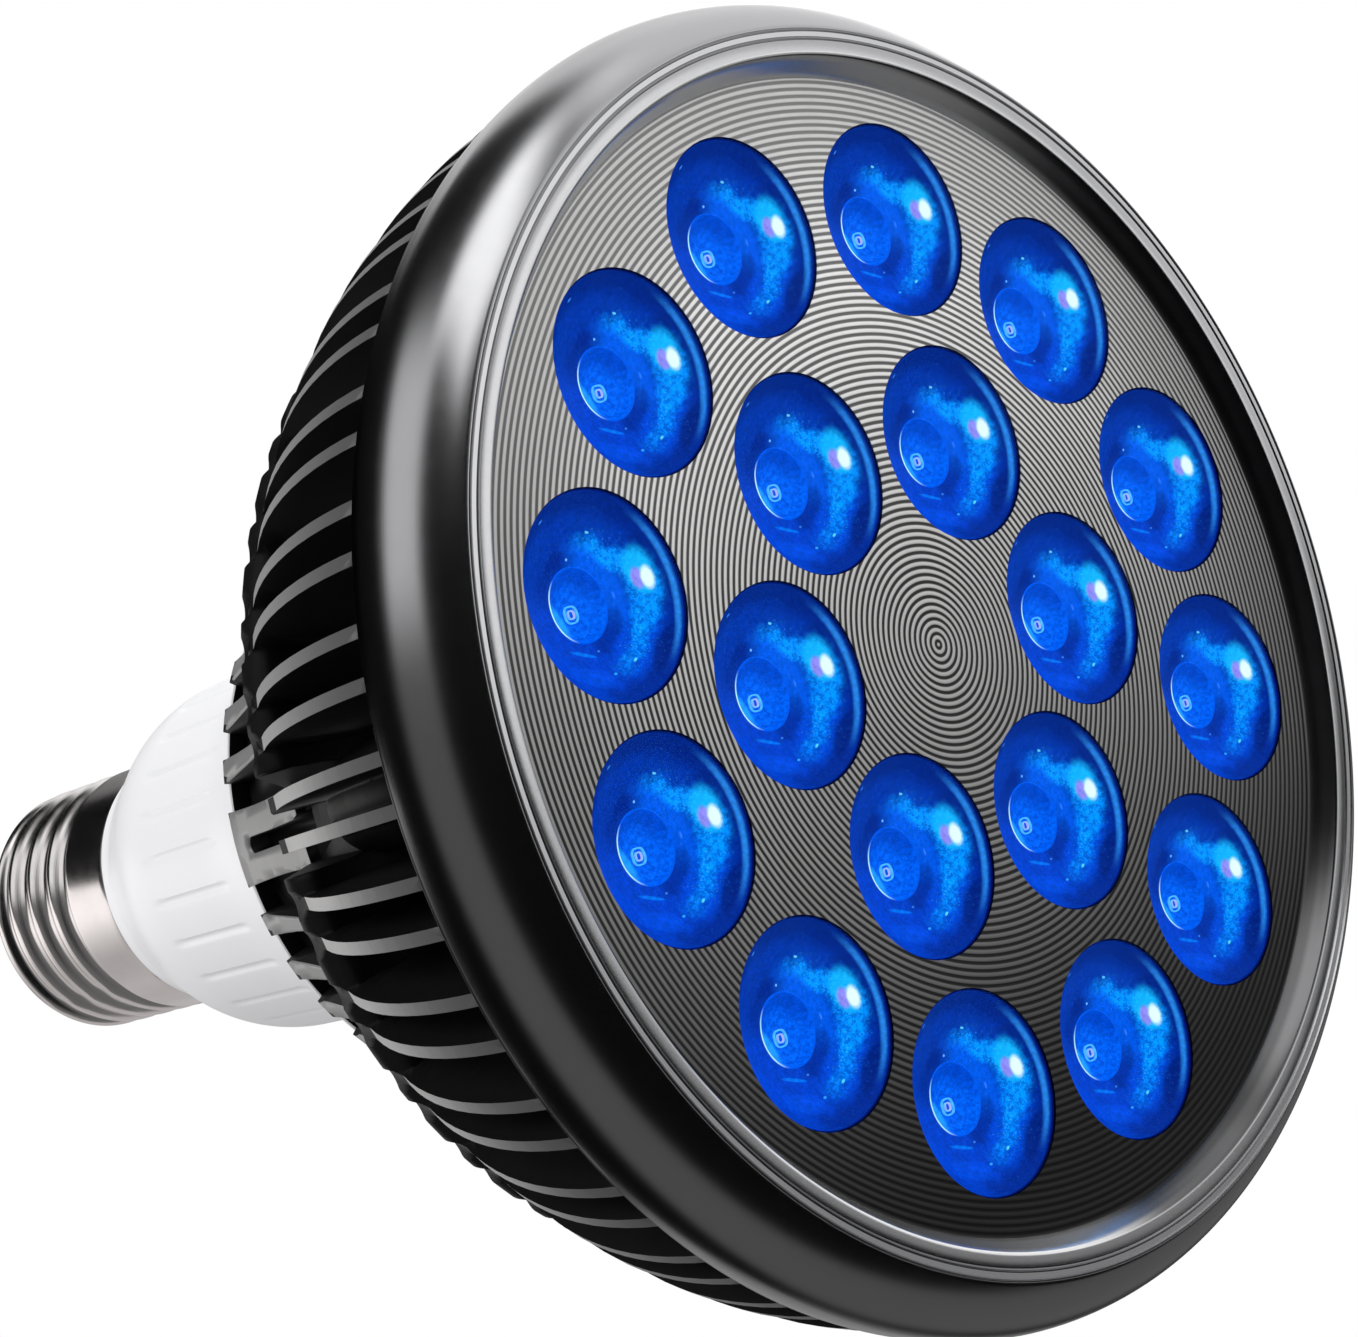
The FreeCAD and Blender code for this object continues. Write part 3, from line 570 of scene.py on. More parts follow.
def lens_well_colour(write, parts, grain, true_radius, side):
    """The lighter blue of the well over the light source, with painted shade on its upper side and a painted
    highlight on one side.
    """
    shade_side = write.times(write.smooth(true_radius, 1.2, 2.5), side(85, 100, 50))
    base = write.mix(write.smooth(grain, 0.30, 0.70), (0.0, 0.085, 0.74), (0.0, 0.150, 0.86))
    return write.layers(base, (
        (write.times(shade_side, 0.75), (0.0, 0.055, 0.52)),
        # Painted highlight on one side of the well.
        (write.patch(parts, 205, 2.1, 1.7, 0.9), (0.02, 0.33, 0.88)),
    ))


def lens_bowl_material(face):
    """The lens's inner reflector: royal blue, glowing as painted light, with a painted light band round its
    far side and painted shade and highlights.
    """
    material, write, shader = new_material("lens_bowl")
    local, parts = write.lens_place()
    wobble = write.add("ShaderNodeTexNoise", {"Vector": local, "Scale": 0.7, "Detail": 3.0}).outputs["Color"]
    centred = write.out("ShaderNodeVectorMath", {0: wobble, 1: (0.5, 0.5, 0.5)}, operation="SUBTRACT")
    pushed = write.out("ShaderNodeVectorMath", {0: centred, 1: (1.3, 1.3, 0.0), 2: local},
                       operation="MULTIPLY_ADD")
    radius = write.diagonal(write.split(pushed))
    true_radius = write.diagonal(parts)
    angle = write.lens_angle(parts)

    def side(middle, fade, full):
        """The mask of one side of the lens, by its own angle in degrees."""
        return write.facing(angle, middle, fade, full)

    grain = write.noise(local, 2.4, 4.0, 0.78)
    fine = write.noise(local, 6.0, 2.0, 0.7)
    cloud = write.noise(local, 0.55, 2.0, 0.6)
    # Painted light and shade: a dimmed copy of the royal blue, with the full royal blue on one lit side.
    dim = rgba(face.lens_royal, 0.58)
    # Painted light: a brighter blue inner zone on one side.
    inner = write.times(write.smooth(radius, 5.8, 4.6), side(28, 78, 42))
    # Painted shade: the troughs by the well on two sides, and the brim, less on one side, darkened to deep
    # blue.
    upper_trough_shade = write.times(write.smooth(radius, 5.2, 4.4), side(120, 55, 25))
    lower_trough_shade = write.times(write.smooth(radius, 4.9, 4.2), side(-50, 50, 20))
    brim_shade = write.times(write.times(write.smooth(radius, 6.9, 8.2), 0.75),
                       write.times_plus(side(-152, 62, 30), -0.8, 1.0))
    # Painted light: the glowing band round the far side, its middle and width set by angle.
    middle = write.times_plus(side(4, 30, 8), 0.45, 6.20)
    middle = write.times_plus(side(64, 48, 12), -1.0, middle)
    width = write.times_plus(side(8, 40, 10), 0.65, 1.02)
    band = write.times(write.hoop(radius, middle, width), side(2, 88, 52))
    strength = write.times_plus(side(10, 60, 15), 0.55, 0.72)
    texture = write.times_plus(write.smooth(grain, 0.42, 0.60), 0.66, 0.30)
    texture = write.times_plus(write.smooth(fine, 0.44, 0.62), 0.34, texture)
    # Painted light: a halo round the band.
    halo = write.times(write.hoop(radius, middle, 1.9), side(0, 95, 40))
    # Painted highlight: a light-blue crescent at the rim on the far side.
    rim_highlight = write.times(write.hoop(true_radius, 8.58, 0.28), side(0, 52, 16))
    well = face.well_radius / MM
    # Painted highlights: small bright sparkles, most of them in the halo.
    painted_sparkle = write.times(write.smooth(fine, 0.60, 0.72), write.times_plus(halo, 0.48, 0.10))
    # Painted highlight: a white spot in place of a reflection in the lens front, glowing stronger.
    glint = write.patch(parts, 7, 7.15, 1.0, 0.46)
    colour = write.layers(dim, (
        (write.times(side(-95, 115, 62), 0.92), face.lens_royal),
        (write.times(write.smooth(cloud, 0.62, 0.34), 0.45), dim),
        (write.times(write.smooth(grain, 0.50, 0.70), 0.26), (0.0, 0.060, 0.64)),
        (write.times(inner, 0.85), (0.0, 0.115, 0.80)),
        (write.times(upper_trough_shade, 0.35), face.lens_deep),
        (write.times(lower_trough_shade, 0.55), face.lens_deep),
        (brim_shade, face.lens_deep),
        (write.times(write.times(band, strength), texture, clamp=True), face.lens_cyan),
        (write.times(halo, 0.30), (0.0, 0.13, 0.90)),
        (write.times(rim_highlight, 0.75), (0.04, 0.32, 0.90)),
    ))
    for spot_angle, spot_radius, along, across, share, tint in LENS_PATCHES:
        spot = write.patch(parts, spot_angle, spot_radius, along, across)
        colour = write.mix(write.times(spot, share), colour, tint)
    # The well's blue, the painted sparkles, painted shade at the very edge, and the painted white highlight
    # last.
    colour = write.layers(colour, (
        (write.smooth(true_radius, well + 0.10, well + 0.02),
         lens_well_colour(write, parts, grain, true_radius, side)),
        (painted_sparkle, (0.12, 0.68, 1.0)),
        (write.smooth(true_radius, 8.86, 8.95), (0.0, 0.004, 0.10)),
        (glint, (1.0, 0.98, 0.98)),
    ))
    glow = write.times_plus(write.smooth(grain, 0.34, 0.66), 0.38, 0.72)
    glow = write.math("MAXIMUM", glow, write.times(glint, 1.15))
    light_up(material, write, shader, colour, glow, write.times_plus(fine, 0.1, 0.35))
    wire(write, shader, Normal=write.bump(grain, 0.08 * MM, 0.3))
    return material


def light_up(material, write, shader, colour, glow, rough):
    """Let a surface glow in its colour as painted light, though it is no lamp, with a quarter of it left to
    the lamps.
    """
    wire(write, shader, Base_Color=write.mix(0.75, colour, (0.0, 0.0, 0.0)), Roughness=rough,
         Emission_Color=colour, Emission_Strength=glow, Specular_IOR_Level=0.05)
    material.cycles.emission_sampling = "NONE"


def lens_front_material():
    """The lens's clear face, thin enough to see the reflector through."""
    material, write, shader = new_material("lens_front")
    cloud = write.noise(write.lens_place()[0], 1.1, 3.0)
    clear = write.out("ShaderNodeBsdfTransparent", {0: (0.80, 0.95, 1.0, 1.0)})
    tint = write.mix(cloud, (0.16, 0.45, 1.0), (0.30, 0.60, 1.0))
    rough = write.times_plus(cloud, 0.02, 0.04)
    gloss = write.out("ShaderNodeBsdfGlossy", {"Color": tint, "Roughness": rough})
    fresnel = write.out("ShaderNodeFresnel", {"IOR": 1.10})
    behind = write.add("ShaderNodeNewGeometry").outputs["Backfacing"]
    share = write.times(fresnel, write.minus(1.0, behind))
    set_surface(material, write.out("ShaderNodeMixShader", {0: share, 1: clear, 2: gloss}), shader)
    return material


def lens_mark_material():
    """The light source's square outlines and the ring of the well, glowing as painted light, the ring with a
    painted highlight on one side.
    """
    material, write, shader = new_material("lens_marks")
    local, parts = write.lens_place()
    cloud = write.noise(local, 2.5, 4.0)
    frames = write.mix(cloud, (0.02, 0.34, 0.98), (0.20, 0.70, 1.0))
    # Painted highlight: the ring near white on one side.
    lit = write.facing(write.lens_angle(parts), 190, 62, 12)
    colour = write.layers(frames, (
        (write.above(write.diagonal(parts), 2.6), write.mix(lit, (0.0, 0.11, 0.80), (0.75, 1.0, 1.0))),
        (write.patch(parts, 90, -SOURCE_SHIFT, 0.40, 0.40), (0.72, 0.52, 0.92)),
    ))
    light_up(material, write, shader, colour, write.times_plus(cloud, 0.4, 0.70), 0.3)
    return material


def casting_material(body):
    """Black coated casting, bare metal where the lathe has skimmed the fins and lands, the bare metal
    lighter towards the shoulder as painted light.
    """
    material, write, shader = new_material("black_casting")
    here, parts, radius = write.axis_place()
    height = parts[2]
    normal = write.split(write.add("ShaderNodeNewGeometry").outputs["Normal"])
    along = [write.times(parts[axis], normal[axis]) for axis in (0, 1)]
    outward = write.math("DIVIDE", write.math("ADD", *along), radius)
    arc = write.math("ADD", FRONT_HUB[0] * MM, write.arc_reach(height, FRONT_HUB))
    land = write.minus(REAR_HUB[0] * MM, write.arc_reach(height, REAR_HUB))
    on_fins = write.times(write.above(radius, write.minus(arc, body.bare_depth)),
                          write.below(height, FRONT_FINS_END * MM))
    on_lands = write.times(write.above(radius, write.minus(land, body.bare_depth)),
                           write.above(height, REAR_LANDS_START * MM))
    bare = write.times(write.math("MAXIMUM", on_fins, on_lands), write.above(outward, 0.55))
    bare_rear = write.times(bare, write.above(height, STAGES_MEET * MM))
    grain = write.noise(here, 900.0, 4.0, 0.6)
    lines = write.noise(write.vector({2: height}), 9000.0)
    # Painted light: the bare metal lighter with height, towards the shoulder, and darker near the bezel.
    metal = write.layers(rgba(body.bare_colour, 0.65), (
        (write.smooth(height, 10.0 * MM, 34.0 * MM), rgba(body.bare_colour, 2.4)),
        (write.times(lines, 0.35), rgba(body.bare_colour, 0.3)),
        (bare_rear, body.rear_colour),
    ))
    coat = write.mix(grain, body.casting_colour, rgba(body.casting_colour, 1.8))
    wire(write, shader, Base_Color=write.mix(bare, coat, metal), Metallic=write.times(bare, 0.6),
         Roughness=write.times_plus(grain, 0.14, 0.38), Normal=write.bump(grain, 0.03 * MM, 0.35),
         Specular_IOR_Level=0.14)
    return material


def collar_material(body):
    """White moulded plastic, a little uneven, with painted shade making it dark where its foot stands
    between the teeth.
    """
    material, write, shader = new_material("white_plastic")
    here = write.place()
    # Painted shade: the collar's front face made near black where it shows between the teeth.
    painted_foot_shade = write.below(write.split(here)[2], 67.80 * MM)
    base = write.mix(write.noise(here, 60.0, 3.0), rgba(body.collar_colour, 0.97), body.collar_colour)
    colour = write.mix(painted_foot_shade, base, (0.012, 0.012, 0.012))
    rough = write.times_plus(write.noise(here, 500.0, 4.0), 0.12, 0.28)
    normal = write.bump(write.noise(here, 1500.0, 3.0), 0.01 * MM, 0.4)
    wire(write, shader, Base_Color=colour, Roughness=rough, Normal=normal)
    return material


def nickel_material(body):
    """Bright nickel plate with drawing lines and faint stains."""
    material, write, shader = new_material("nickel")
    here = write.place()
    stain = write.noise(here, 180.0, 5.0, 0.6)
    colour = write.mix(stain, rgba(body.nickel_colour, 0.84), body.nickel_colour)
    rough = write.times_plus(write.noise(here, 700.0, 4.0), 0.14, 0.13)
    lines = write.noise(write.vector({2: write.split(here)[2]}), 6000.0)
    normal = write.bump(lines, 0.01 * MM, 0.5)
    wire(write, shader, Base_Color=colour, Metallic=1.0, Roughness=rough, Normal=normal)
    return material


def plain_material(name, colour, roughness, metallic=0.0, spread=0.25, depth=0.02):
    """A simple finish for a small or inner piece: a mottled colour with fine bump."""
    material, write, shader = new_material(name)
    here = write.place()
    cloud = write.noise(here, 400.0, 4.0)
    shaded = write.mix(cloud, [c * (1 - spread) for c in colour], colour)
    rough = write.times_plus(cloud, 0.12, roughness - 0.06)
    normal = write.bump(write.noise(here, 1200.0, 3.0), depth * MM, 0.4)
    wire(write, shader, Base_Color=shaded, Roughness=rough, Metallic=metallic, Normal=normal)
    return material


# Millimetres: the rim's bore, its seat behind the plate and its back, and one groove of its land.
BEZEL_BORE = 53.4
BEZEL_SEAT = 2.2
BEZEL_BACK = 10.2
LAND_GROOVE = ((-0.18, 0.01), (-0.06, 0.26), (0.0, 0.3), (0.06, 0.26), (0.18, 0.01))


def bezel_profile():
    """The rim's closed outline in millimetres, as in the CAD piece, with softened edges."""
    points = [(52.1, BEZEL_SEAT), (52.16, 2.06)]
    points += line_points(points[-1], (53.5, 0.16), 4)
    points += arc_points(points[-1], (53.66, 0.045), (53.9, 0.0), 4)
    points.append((54.90, 0.0))
    for groove_radius in (55.1, 55.9):
        points += [(groove_radius + step, depth) for step, depth in LAND_GROOVE]
    points.append((56.2, 0.02))
    points += arc_points(points[-1], (59.0, 2.75), (60.293, 6.6), 26)
    points += arc_points(points[-1], (60.15, 8.5), (59.75, 9.9), 12)
    points += arc_points(points[-1], (59.68, 10.12), (59.45, BEZEL_BACK), 4)
    points += line_points(points[-1], (BEZEL_BORE, BEZEL_BACK), 3)
    points += line_points(points[-1], (BEZEL_BORE, BEZEL_SEAT), 3)
    return points


class BULB_OT_bezel(bpy.types.Operator):
    """Make the glossy rim"""

    bl_idname = "bulb.bezel"
    bl_label = "Bezel"

    def execute(self, context):
        mesh = lathe("bezel_gloss", bezel_profile(), 288, True)
        obj = link_mesh("bezel_gloss", mesh, bezel_material(context.scene.bulb_face))
        finish_piece(obj, ["bezel_ring"])
        return {"FINISHED"}


class BULB_OT_plate(bpy.types.Operator):
    """Give the CAD plate its turned finish"""

    bl_idname = "bulb.plate"
    bl_label = "Face plate"

    def execute(self, context):
        dress_node("face_plate", plate_material(context.scene.bulb_face))
        return {"FINISHED"}


def dress_node(node, material):
    """Give a shown CAD node its material."""
    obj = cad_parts[node]
    obj.data.materials.clear()
    obj.data.materials.append(material)


def store_local_place(mesh):
    """Keep each point's own place, in millimetres, for the materials of repeated pieces."""
    attribute = mesh.attributes.new("lens_place", "FLOAT_VECTOR", "POINT")
    values = []
    for vertex in mesh.vertices:
        values.extend(c / MM for c in vertex.co)
    attribute.data.foreach_set("vector", values)


def ring_array(face, source, material):
    """The tree that sets one lens part on every place of the two rings."""
    tree = Tree("lens_rings")
    for label, kind, value in (
            ("Source", "Object", source),
            ("Outer radius", "Float", face.outer_ring),
            ("Inner radius", "Float", face.inner_ring),
            ("Outer count", "Int", face.outer_count),
            ("Inner count", "Int", face.inner_count),
            ("Outer turn", "Float", face.outer_turn),
            ("Finish", "Material", material)):
        tree.input(label, kind, value)
    group = tree.begin().outputs
    write = tree.write
    outer, inner = [
        write.out("GeometryNodeMeshCircle", {"Vertices": group[ring + " count"],
                                             "Radius": group[ring + " radius"]})
        for ring in ("Outer", "Inner")]
    turn = write.vector({2: group["Outer turn"]})
    outer = write.out("GeometryNodeTransform", {"Geometry": outer, "Rotation": turn})
    both = write.add("GeometryNodeJoinGeometry")
    write.tree.links.new(outer, both.inputs[0])
    write.tree.links.new(inner, both.inputs[0])
    part = write.add("GeometryNodeObjectInfo", {"Object": group["Source"]}).outputs["Geometry"]
    placed = write.out("GeometryNodeInstanceOnPoints", {"Points": both.outputs[0], "Instance": part})
    tree.end(placed, group["Finish"])
    return tree


def lens_bowl_mesh(face):
    """The reflector of one lens at the axis: a bowl with its well, on a foot over the source."""
    edge = face.lens_radius / MM
    front = face.lens_front / MM + 0.16
    well = face.well_radius / MM
    deep = face.lens_front / MM + face.well_depth / MM
    floor = deep + 1.25
    profile = [(0.0, floor), (0.35, floor)]
    profile += arc_points(profile[-1], (1.7, floor - 0.1), (well - 0.35, floor - 0.5), 6)
    profile += line_points(profile[-1], (well - 0.05, deep + 0.2), 2)
    profile += [(well, deep + 0.05)]
    profile += arc_points((well + 0.12, deep), (7.0, front + 1.9), (edge - 0.03, front + 0.1), 16)
    profile += [(edge - 0.02, front), (edge, front + 0.02)]
    profile += line_points(profile[-1], (edge, front + 0.9), 1)
    profile += arc_points(profile[-1], (7.3, 7.4), (4.4, 11.0), 8)
    profile += [(3.0, 11.0), (2.8, floor + 0.95), (0.0, floor + 0.95)]
    return lathe("lens_bowl", profile, 64, False)


def lens_front_mesh(face):
    """The clear crowned face of one lens at the axis, a thin closed shell."""
    edge = face.lens_radius / MM
    front = face.lens_front / MM
    crown = face.lens_crown / MM
    sphere = (edge * edge + crown * crown) / (2 * crown)
    profile = []
    for index in range(0, 13):
        radius = (edge - 0.01) * index / 12
        profile.append((radius, front - crown + sphere - math.sqrt(sphere * sphere - radius * radius)))
    profile += [(edge - 0.01, front + 0.10), (edge * 0.5, front + 0.12), (0.0, front + 0.12)]
    return lathe("lens_front", profile, 64, False)


def rounded_square_frame(builder, half, width, corner, low, high):
    """A thin rounded-square frame standing between two heights, in millimetres."""
    rings = []
    for size, height in ((half, low), (half, high), (half - width, high), (half - width, low)):
        ring = []
        radius = max(corner - (half - size), 0.04)
        for quarter in range(4):
            middle = math.radians(45 + 90 * quarter)
            hub = Vector((math.copysign(size - radius, math.cos(middle)),
                          math.copysign(size - radius, math.sin(middle)), 0))
            for step in range(5):
                angle = math.radians(90 * quarter + 22.5 * step)
                point = hub + Vector((radius * math.cos(angle), radius * math.sin(angle), 0))
                ring.append(builder.verts.new((point.x * MM, point.y * MM, height * MM)))
        rings.append(ring)
    for first, second in zip(rings, rings[1:] + rings[:1]):
        for index in range(len(first)):
            after = (index + 1) % len(first)
            builder.faces.new((first[index], first[after], second[after], second[index]))


def lens_mark_mesh(face):
    """The square outlines of one light source and the ring round its well."""
    deep = (face.lens_front + face.well_depth) / MM
    well = face.well_radius / MM
    builder = bmesh.new()
    for half, corner in ((0.76, 0.56), (0.40, 0.28)):
        rounded_square_frame(builder, half, 0.12, corner, deep + 1.24, deep + 1.05)
    bmesh.ops.translate(builder, verts=builder.verts[:], vec=(0.0, -SOURCE_SHIFT * MM, 0.0))
    bmesh.ops.recalc_face_normals(builder, faces=builder.faces[:])
    frames = mesh_of("lens_marks", builder)
    ring = lathe("ring", [(well + 0.02, deep + 0.02), (well + 0.10, deep - 0.06),
                          (well + 0.18, deep + 0.02), (well + 0.10, deep + 0.08)], 64, True)
    return join_meshes("lens_marks", [frames, ring])


def join_meshes(name, meshes):
    """One mesh from several."""
    builder = bmesh.new()
    for mesh in meshes:
        builder.from_mesh(mesh)
    joined = mesh_of(name, builder)
    shade(joined, 35)
    return joined


class BULB_OT_lenses(bpy.types.Operator):
    """Set the lenses on their two rings"""

    bl_idname = "bulb.lenses"
    bl_label = "Lenses"

    def execute(self, context):
        face = context.scene.bulb_face
        parts = (
            ("lens_bowls", lens_bowl_mesh(face), lens_bowl_material(face)),
            ("lens_fronts", lens_front_mesh(face), lens_front_material()),
            ("lens_sources", lens_mark_mesh(face), lens_mark_material()),
        )
        made = []
        for name, mesh, material in parts:
            store_local_place(mesh)
            source = link_mesh(name + "_source", mesh, None)
            obj = ring_array(face, source, material).run(name, bpy.data.meshes.new(name + "_start"), 35)
            bpy.data.objects.remove(source)
            made.append(obj)
        lenses = [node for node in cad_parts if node.startswith("lens_")]
        for obj in made:
            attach(obj, "root")
        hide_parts(*lenses)
        return {"FINISHED"}


class BULB_OT_heat_sink(bpy.types.Operator):
    """Give the casting smooth curves and its coated and bare finish"""

    bl_idname = "bulb.heat_sink"
    bl_label = "Heat sink"

    def execute(self, context):
        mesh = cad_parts["heat_sink"].data.copy()
        builder = bmesh.new()
        builder.from_mesh(mesh)
        bmesh.ops.remove_doubles(builder, verts=builder.verts[:], dist=0.5e-6)
        builder.to_mesh(mesh)
        builder.free()
        mesh.name = "heat_sink_finish"
        shade(mesh, 24)
        obj = link_mesh("heat_sink_finish", mesh, casting_material(context.scene.bulb_body))
        finish_piece(obj, ["heat_sink"])
        return {"FINISHED"}


# Millimetres: both ends of the collar's waist, its mouth, and the end of the shell's plain band.
WAIST_START = 85.0
WAIST_END = 94.6
COLLAR_MOUTH = 109.28
BAND_END = 115.4


def collar_profile():
    """The collar's outline in millimetres, closed through its bore."""
    points = [(23.3, 67.72), (27.9, 67.72)]
    points += arc_points(points[-1], (28.17, 67.8), (28.1, 68.3), 4)
    points += arc_points(points[-1], (21.5, 76.0), (19.0, WAIST_START), 30)
    points += line_points(points[-1], (18.7, WAIST_END), 12)
    points += arc_points(points[-1], (17.9, 99.6), (16.3, 103.1), 14)
    points += line_points(points[-1], (14.6, 106.4), 4)
    points += arc_points(points[-1], (13.75, 107.8), (13.5, 109.2), 8)
    points += [(13.42, COLLAR_MOUTH), (12.7, COLLAR_MOUTH)]
    points += line_points(points[-1], (12.7, BAND_END), 2)
    points += [(11.1, BAND_END), (11.1, 104.5), (16.7, WAIST_END), (17.0, WAIST_START), (18.8, 75.6),
               (21.3, 67.7), (21.3, 60.1), (23.3, 60.1)]
    return points


def press_tree(name, inputs, material, pattern, fade, wall):
    """The tree that presses a pattern into a turned wall between the heights Low and High.

    The pattern fades in and out over a length, and stays off what lies within the wall's radius.
    """
    tree = Tree(name)
    for label, value in inputs.items():
        tree.input(label, "Float", value)
    tree.input("Finish", "Material", material)
    group = tree.begin().outputs
    write = tree.write
    parts = write.split(write.out("GeometryNodeInputPosition"))
    flat = write.vector({0: parts[0], 1: parts[1]})
    radius = write.add("ShaderNodeVectorMath", {0: flat}, operation="LENGTH").outputs["Value"]
    angle = write.math("ARCTAN2", parts[1], parts[0])
    pressed = write.times(pattern(write, group, angle, parts[2]), group["Depth"])
    rise = write.smooth(parts[2], group["Low"], write.math("ADD", group["Low"], fade))
    fall = write.smooth(parts[2], group["High"], write.minus(group["High"], fade))
    depth = write.times(pressed, write.times(write.times(rise, fall), write.above(radius, wall)))
    inward = write.times(write.math("DIVIDE", depth, radius), -1.0)
    move = write.out("ShaderNodeVectorMath", {0: flat, "Scale": inward}, operation="SCALE")
    moved = write.out("GeometryNodeSetPosition", {"Geometry": group[0], "Offset": move})
    tree.end(moved, group["Finish"])
    return tree


def flute_pattern(write, group, angle, height):
    """Narrow grooves spaced evenly round the axis, the same at every height."""
    swing = write.times(write.minus(angle, group["Turn"]), group["Count"])
    return write.smooth(write.math("COSINE", swing), 0.78, 1.0)


def screw_pattern(write, group, angle, height):
    """A round right-handed screw."""
    turns = write.math("DIVIDE", angle, math.tau)
    climb = write.math("DIVIDE", write.minus(height, group["Low"]), group["Pitch"])
    phase = write.times(write.minus(climb, turns), math.tau)
    return write.times_plus(write.math("COSINE", phase), -0.5, 0.5)


class BULB_OT_collar(bpy.types.Operator):
    """Make the white collar with its flutes"""

    bl_idname = "bulb.collar"
    bl_label = "Collar"

    def execute(self, context):
        body = context.scene.bulb_body
        mesh = lathe("collar_start", collar_profile(), 20 * body.flute_count, True)
        inputs = {"Count": float(body.flute_count), "Depth": body.flute_depth, "Turn": body.flute_turn,
                  "Low": 82.6 * MM, "High": 94.9 * MM}
        tree = press_tree("collar_flutes", inputs, collar_material(body), flute_pattern,
                          fade=0.6 * MM, wall=18.2 * MM)
        finish_piece(tree.run("collar_fluted", mesh, 35), ["collar"])
        return {"FINISHED"}


def shell_profile():
    """The plated shell's outline in millimetres, before its screw is pressed in."""
    points = [(12.8, 109.3), (13.1, 109.3), (13.2, 109.4)]
    points += line_points(points[-1], (13.2, BAND_END), 6)
    points += line_points(points[-1], (13.15, 129.0), 90)
    points += arc_points(points[-1], (12.7, 130.1), (11.2, 130.6), 10)
    points += line_points(points[-1], (9.6, 130.6), 3)
    points += [(9.6, 130.2), (10.9, 130.2)]
    points += arc_points(points[-1], (12.25, 129.7), (12.75, 128.6), 6)
    points += line_points(points[-1], (12.8, BAND_END), 90)
    return points


class BULB_OT_shell(bpy.types.Operator):
    """Make the plated shell with its rolled screw"""

    bl_idname = "bulb.shell"
    bl_label = "Screw shell"

    def execute(self, context):
        body = context.scene.bulb_body
        mesh = lathe("shell_start", shell_profile(), 192, True)
        inputs = {"Pitch": body.thread_pitch, "Depth": body.thread_depth,
                  "Low": 115.6 * MM, "High": 129.6 * MM}
        tree = press_tree("lamp_screw", inputs, nickel_material(body), screw_pattern,
                          fade=1.6 * MM, wall=12.5 * MM)
        finish_piece(tree.run("screw_shell_plated", mesh, 50), ["screw_shell"])
        return {"FINISHED"}


def dome_points(radii, crown, rise, edge):
    """Points of a shallow dome in millimetres, from its height, its rise and its edge's radius."""
    sphere = (edge * edge + rise * rise) / (2 * rise)
    return [(radius, crown - sphere + math.sqrt(sphere * sphere - radius * radius)) for radius in radii]


class BULB_OT_contact(bpy.types.Operator):
    """Make the insulator and the soldered centre contact"""

    bl_idname = "bulb.contact"
    bl_label = "Contact"

    def execute(self, context):
        glaze = plain_material("black_insulator", (0.012, 0.012, 0.013), 0.22, spread=0.4, depth=0.03)
        outline = [(2.0, 127.6), (10.6, 127.6), (10.6, 130.2), (9.6, 130.2), (9.6, 130.5), (9.2, 130.85)]
        outline += line_points(outline[-1], (5.5, 133.15), 4)
        outline += [(5.1, 133.38), (2.0, 133.4)]
        glass = lathe("insulator_glazed", outline, 96, True)
        finish_piece(link_mesh("insulator_glazed", glass, glaze), ["base_insulator"])
        solder = plain_material("solder", (0.62, 0.61, 0.60), 0.30, metallic=1.0, spread=0.3, depth=0.12)
        outline = [(0, 127.0), (1.98, 127.0), (1.98, 133.41), (4.5, 133.41), (4.58, 133.5)]
        outline += dome_points((4.0, 3.2, 2.4, 1.6, 0.8), 134.5, 1.1, 4.6)
        outline.append((0, 134.5))
        button = lathe("contact_solder", outline, 64, False)
        finish_piece(link_mesh("contact_solder", button, solder), ["centre_contact"])
        return {"FINISHED"}


INSIDE_FINISHES = (
    # material, colour, roughness, metallic, the CAD nodes that wear it
    ("board_white", (0.80, 0.80, 0.78), 0.45, 0.0, ("led_board",)),
    ("pad_grey", (0.42, 0.44, 0.46), 0.85, 0.0, ("thermal_pad",)),
    ("steel", (0.55, 0.55, 0.54), 0.35, 1.0, ("board_screws",)),
    ("board_green", (0.03, 0.16, 0.05), 0.4, 0.0, ("driver_board",)),
    ("ferrite", (0.05, 0.05, 0.05), 0.7, 0.0, ("driver_transformer",)),
    ("capacitor_sleeve", (0.03, 0.03, 0.08), 0.3, 0.0, ("driver_capacitor",)),
    ("lead_red", (0.50, 0.03, 0.03), 0.5, 0.0, ("live_lead", "led_lead_red")),
    ("lead_black", (0.02, 0.02, 0.02), 0.5, 0.0, ("neutral_lead", "led_lead_black")),
)


class BULB_OT_inside(bpy.types.Operator):
    """Give the driver, the board and the light sources their finishes"""

    bl_idname = "bulb.inside"
    bl_label = "Inside"

    def execute(self, context):
        chips = [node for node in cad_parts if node.startswith("led_") and node[4:].isdigit()]
        chip_row = ("led_yellow", (0.75, 0.62, 0.10), 0.3, 0.0, chips)
        for name, colour, roughness, metallic, nodes in INSIDE_FINISHES + (chip_row,):
            material = plain_material(name, colour, roughness, metallic)
            for node in nodes:
                dress_node(node, material)
        return {"FINISHED"}


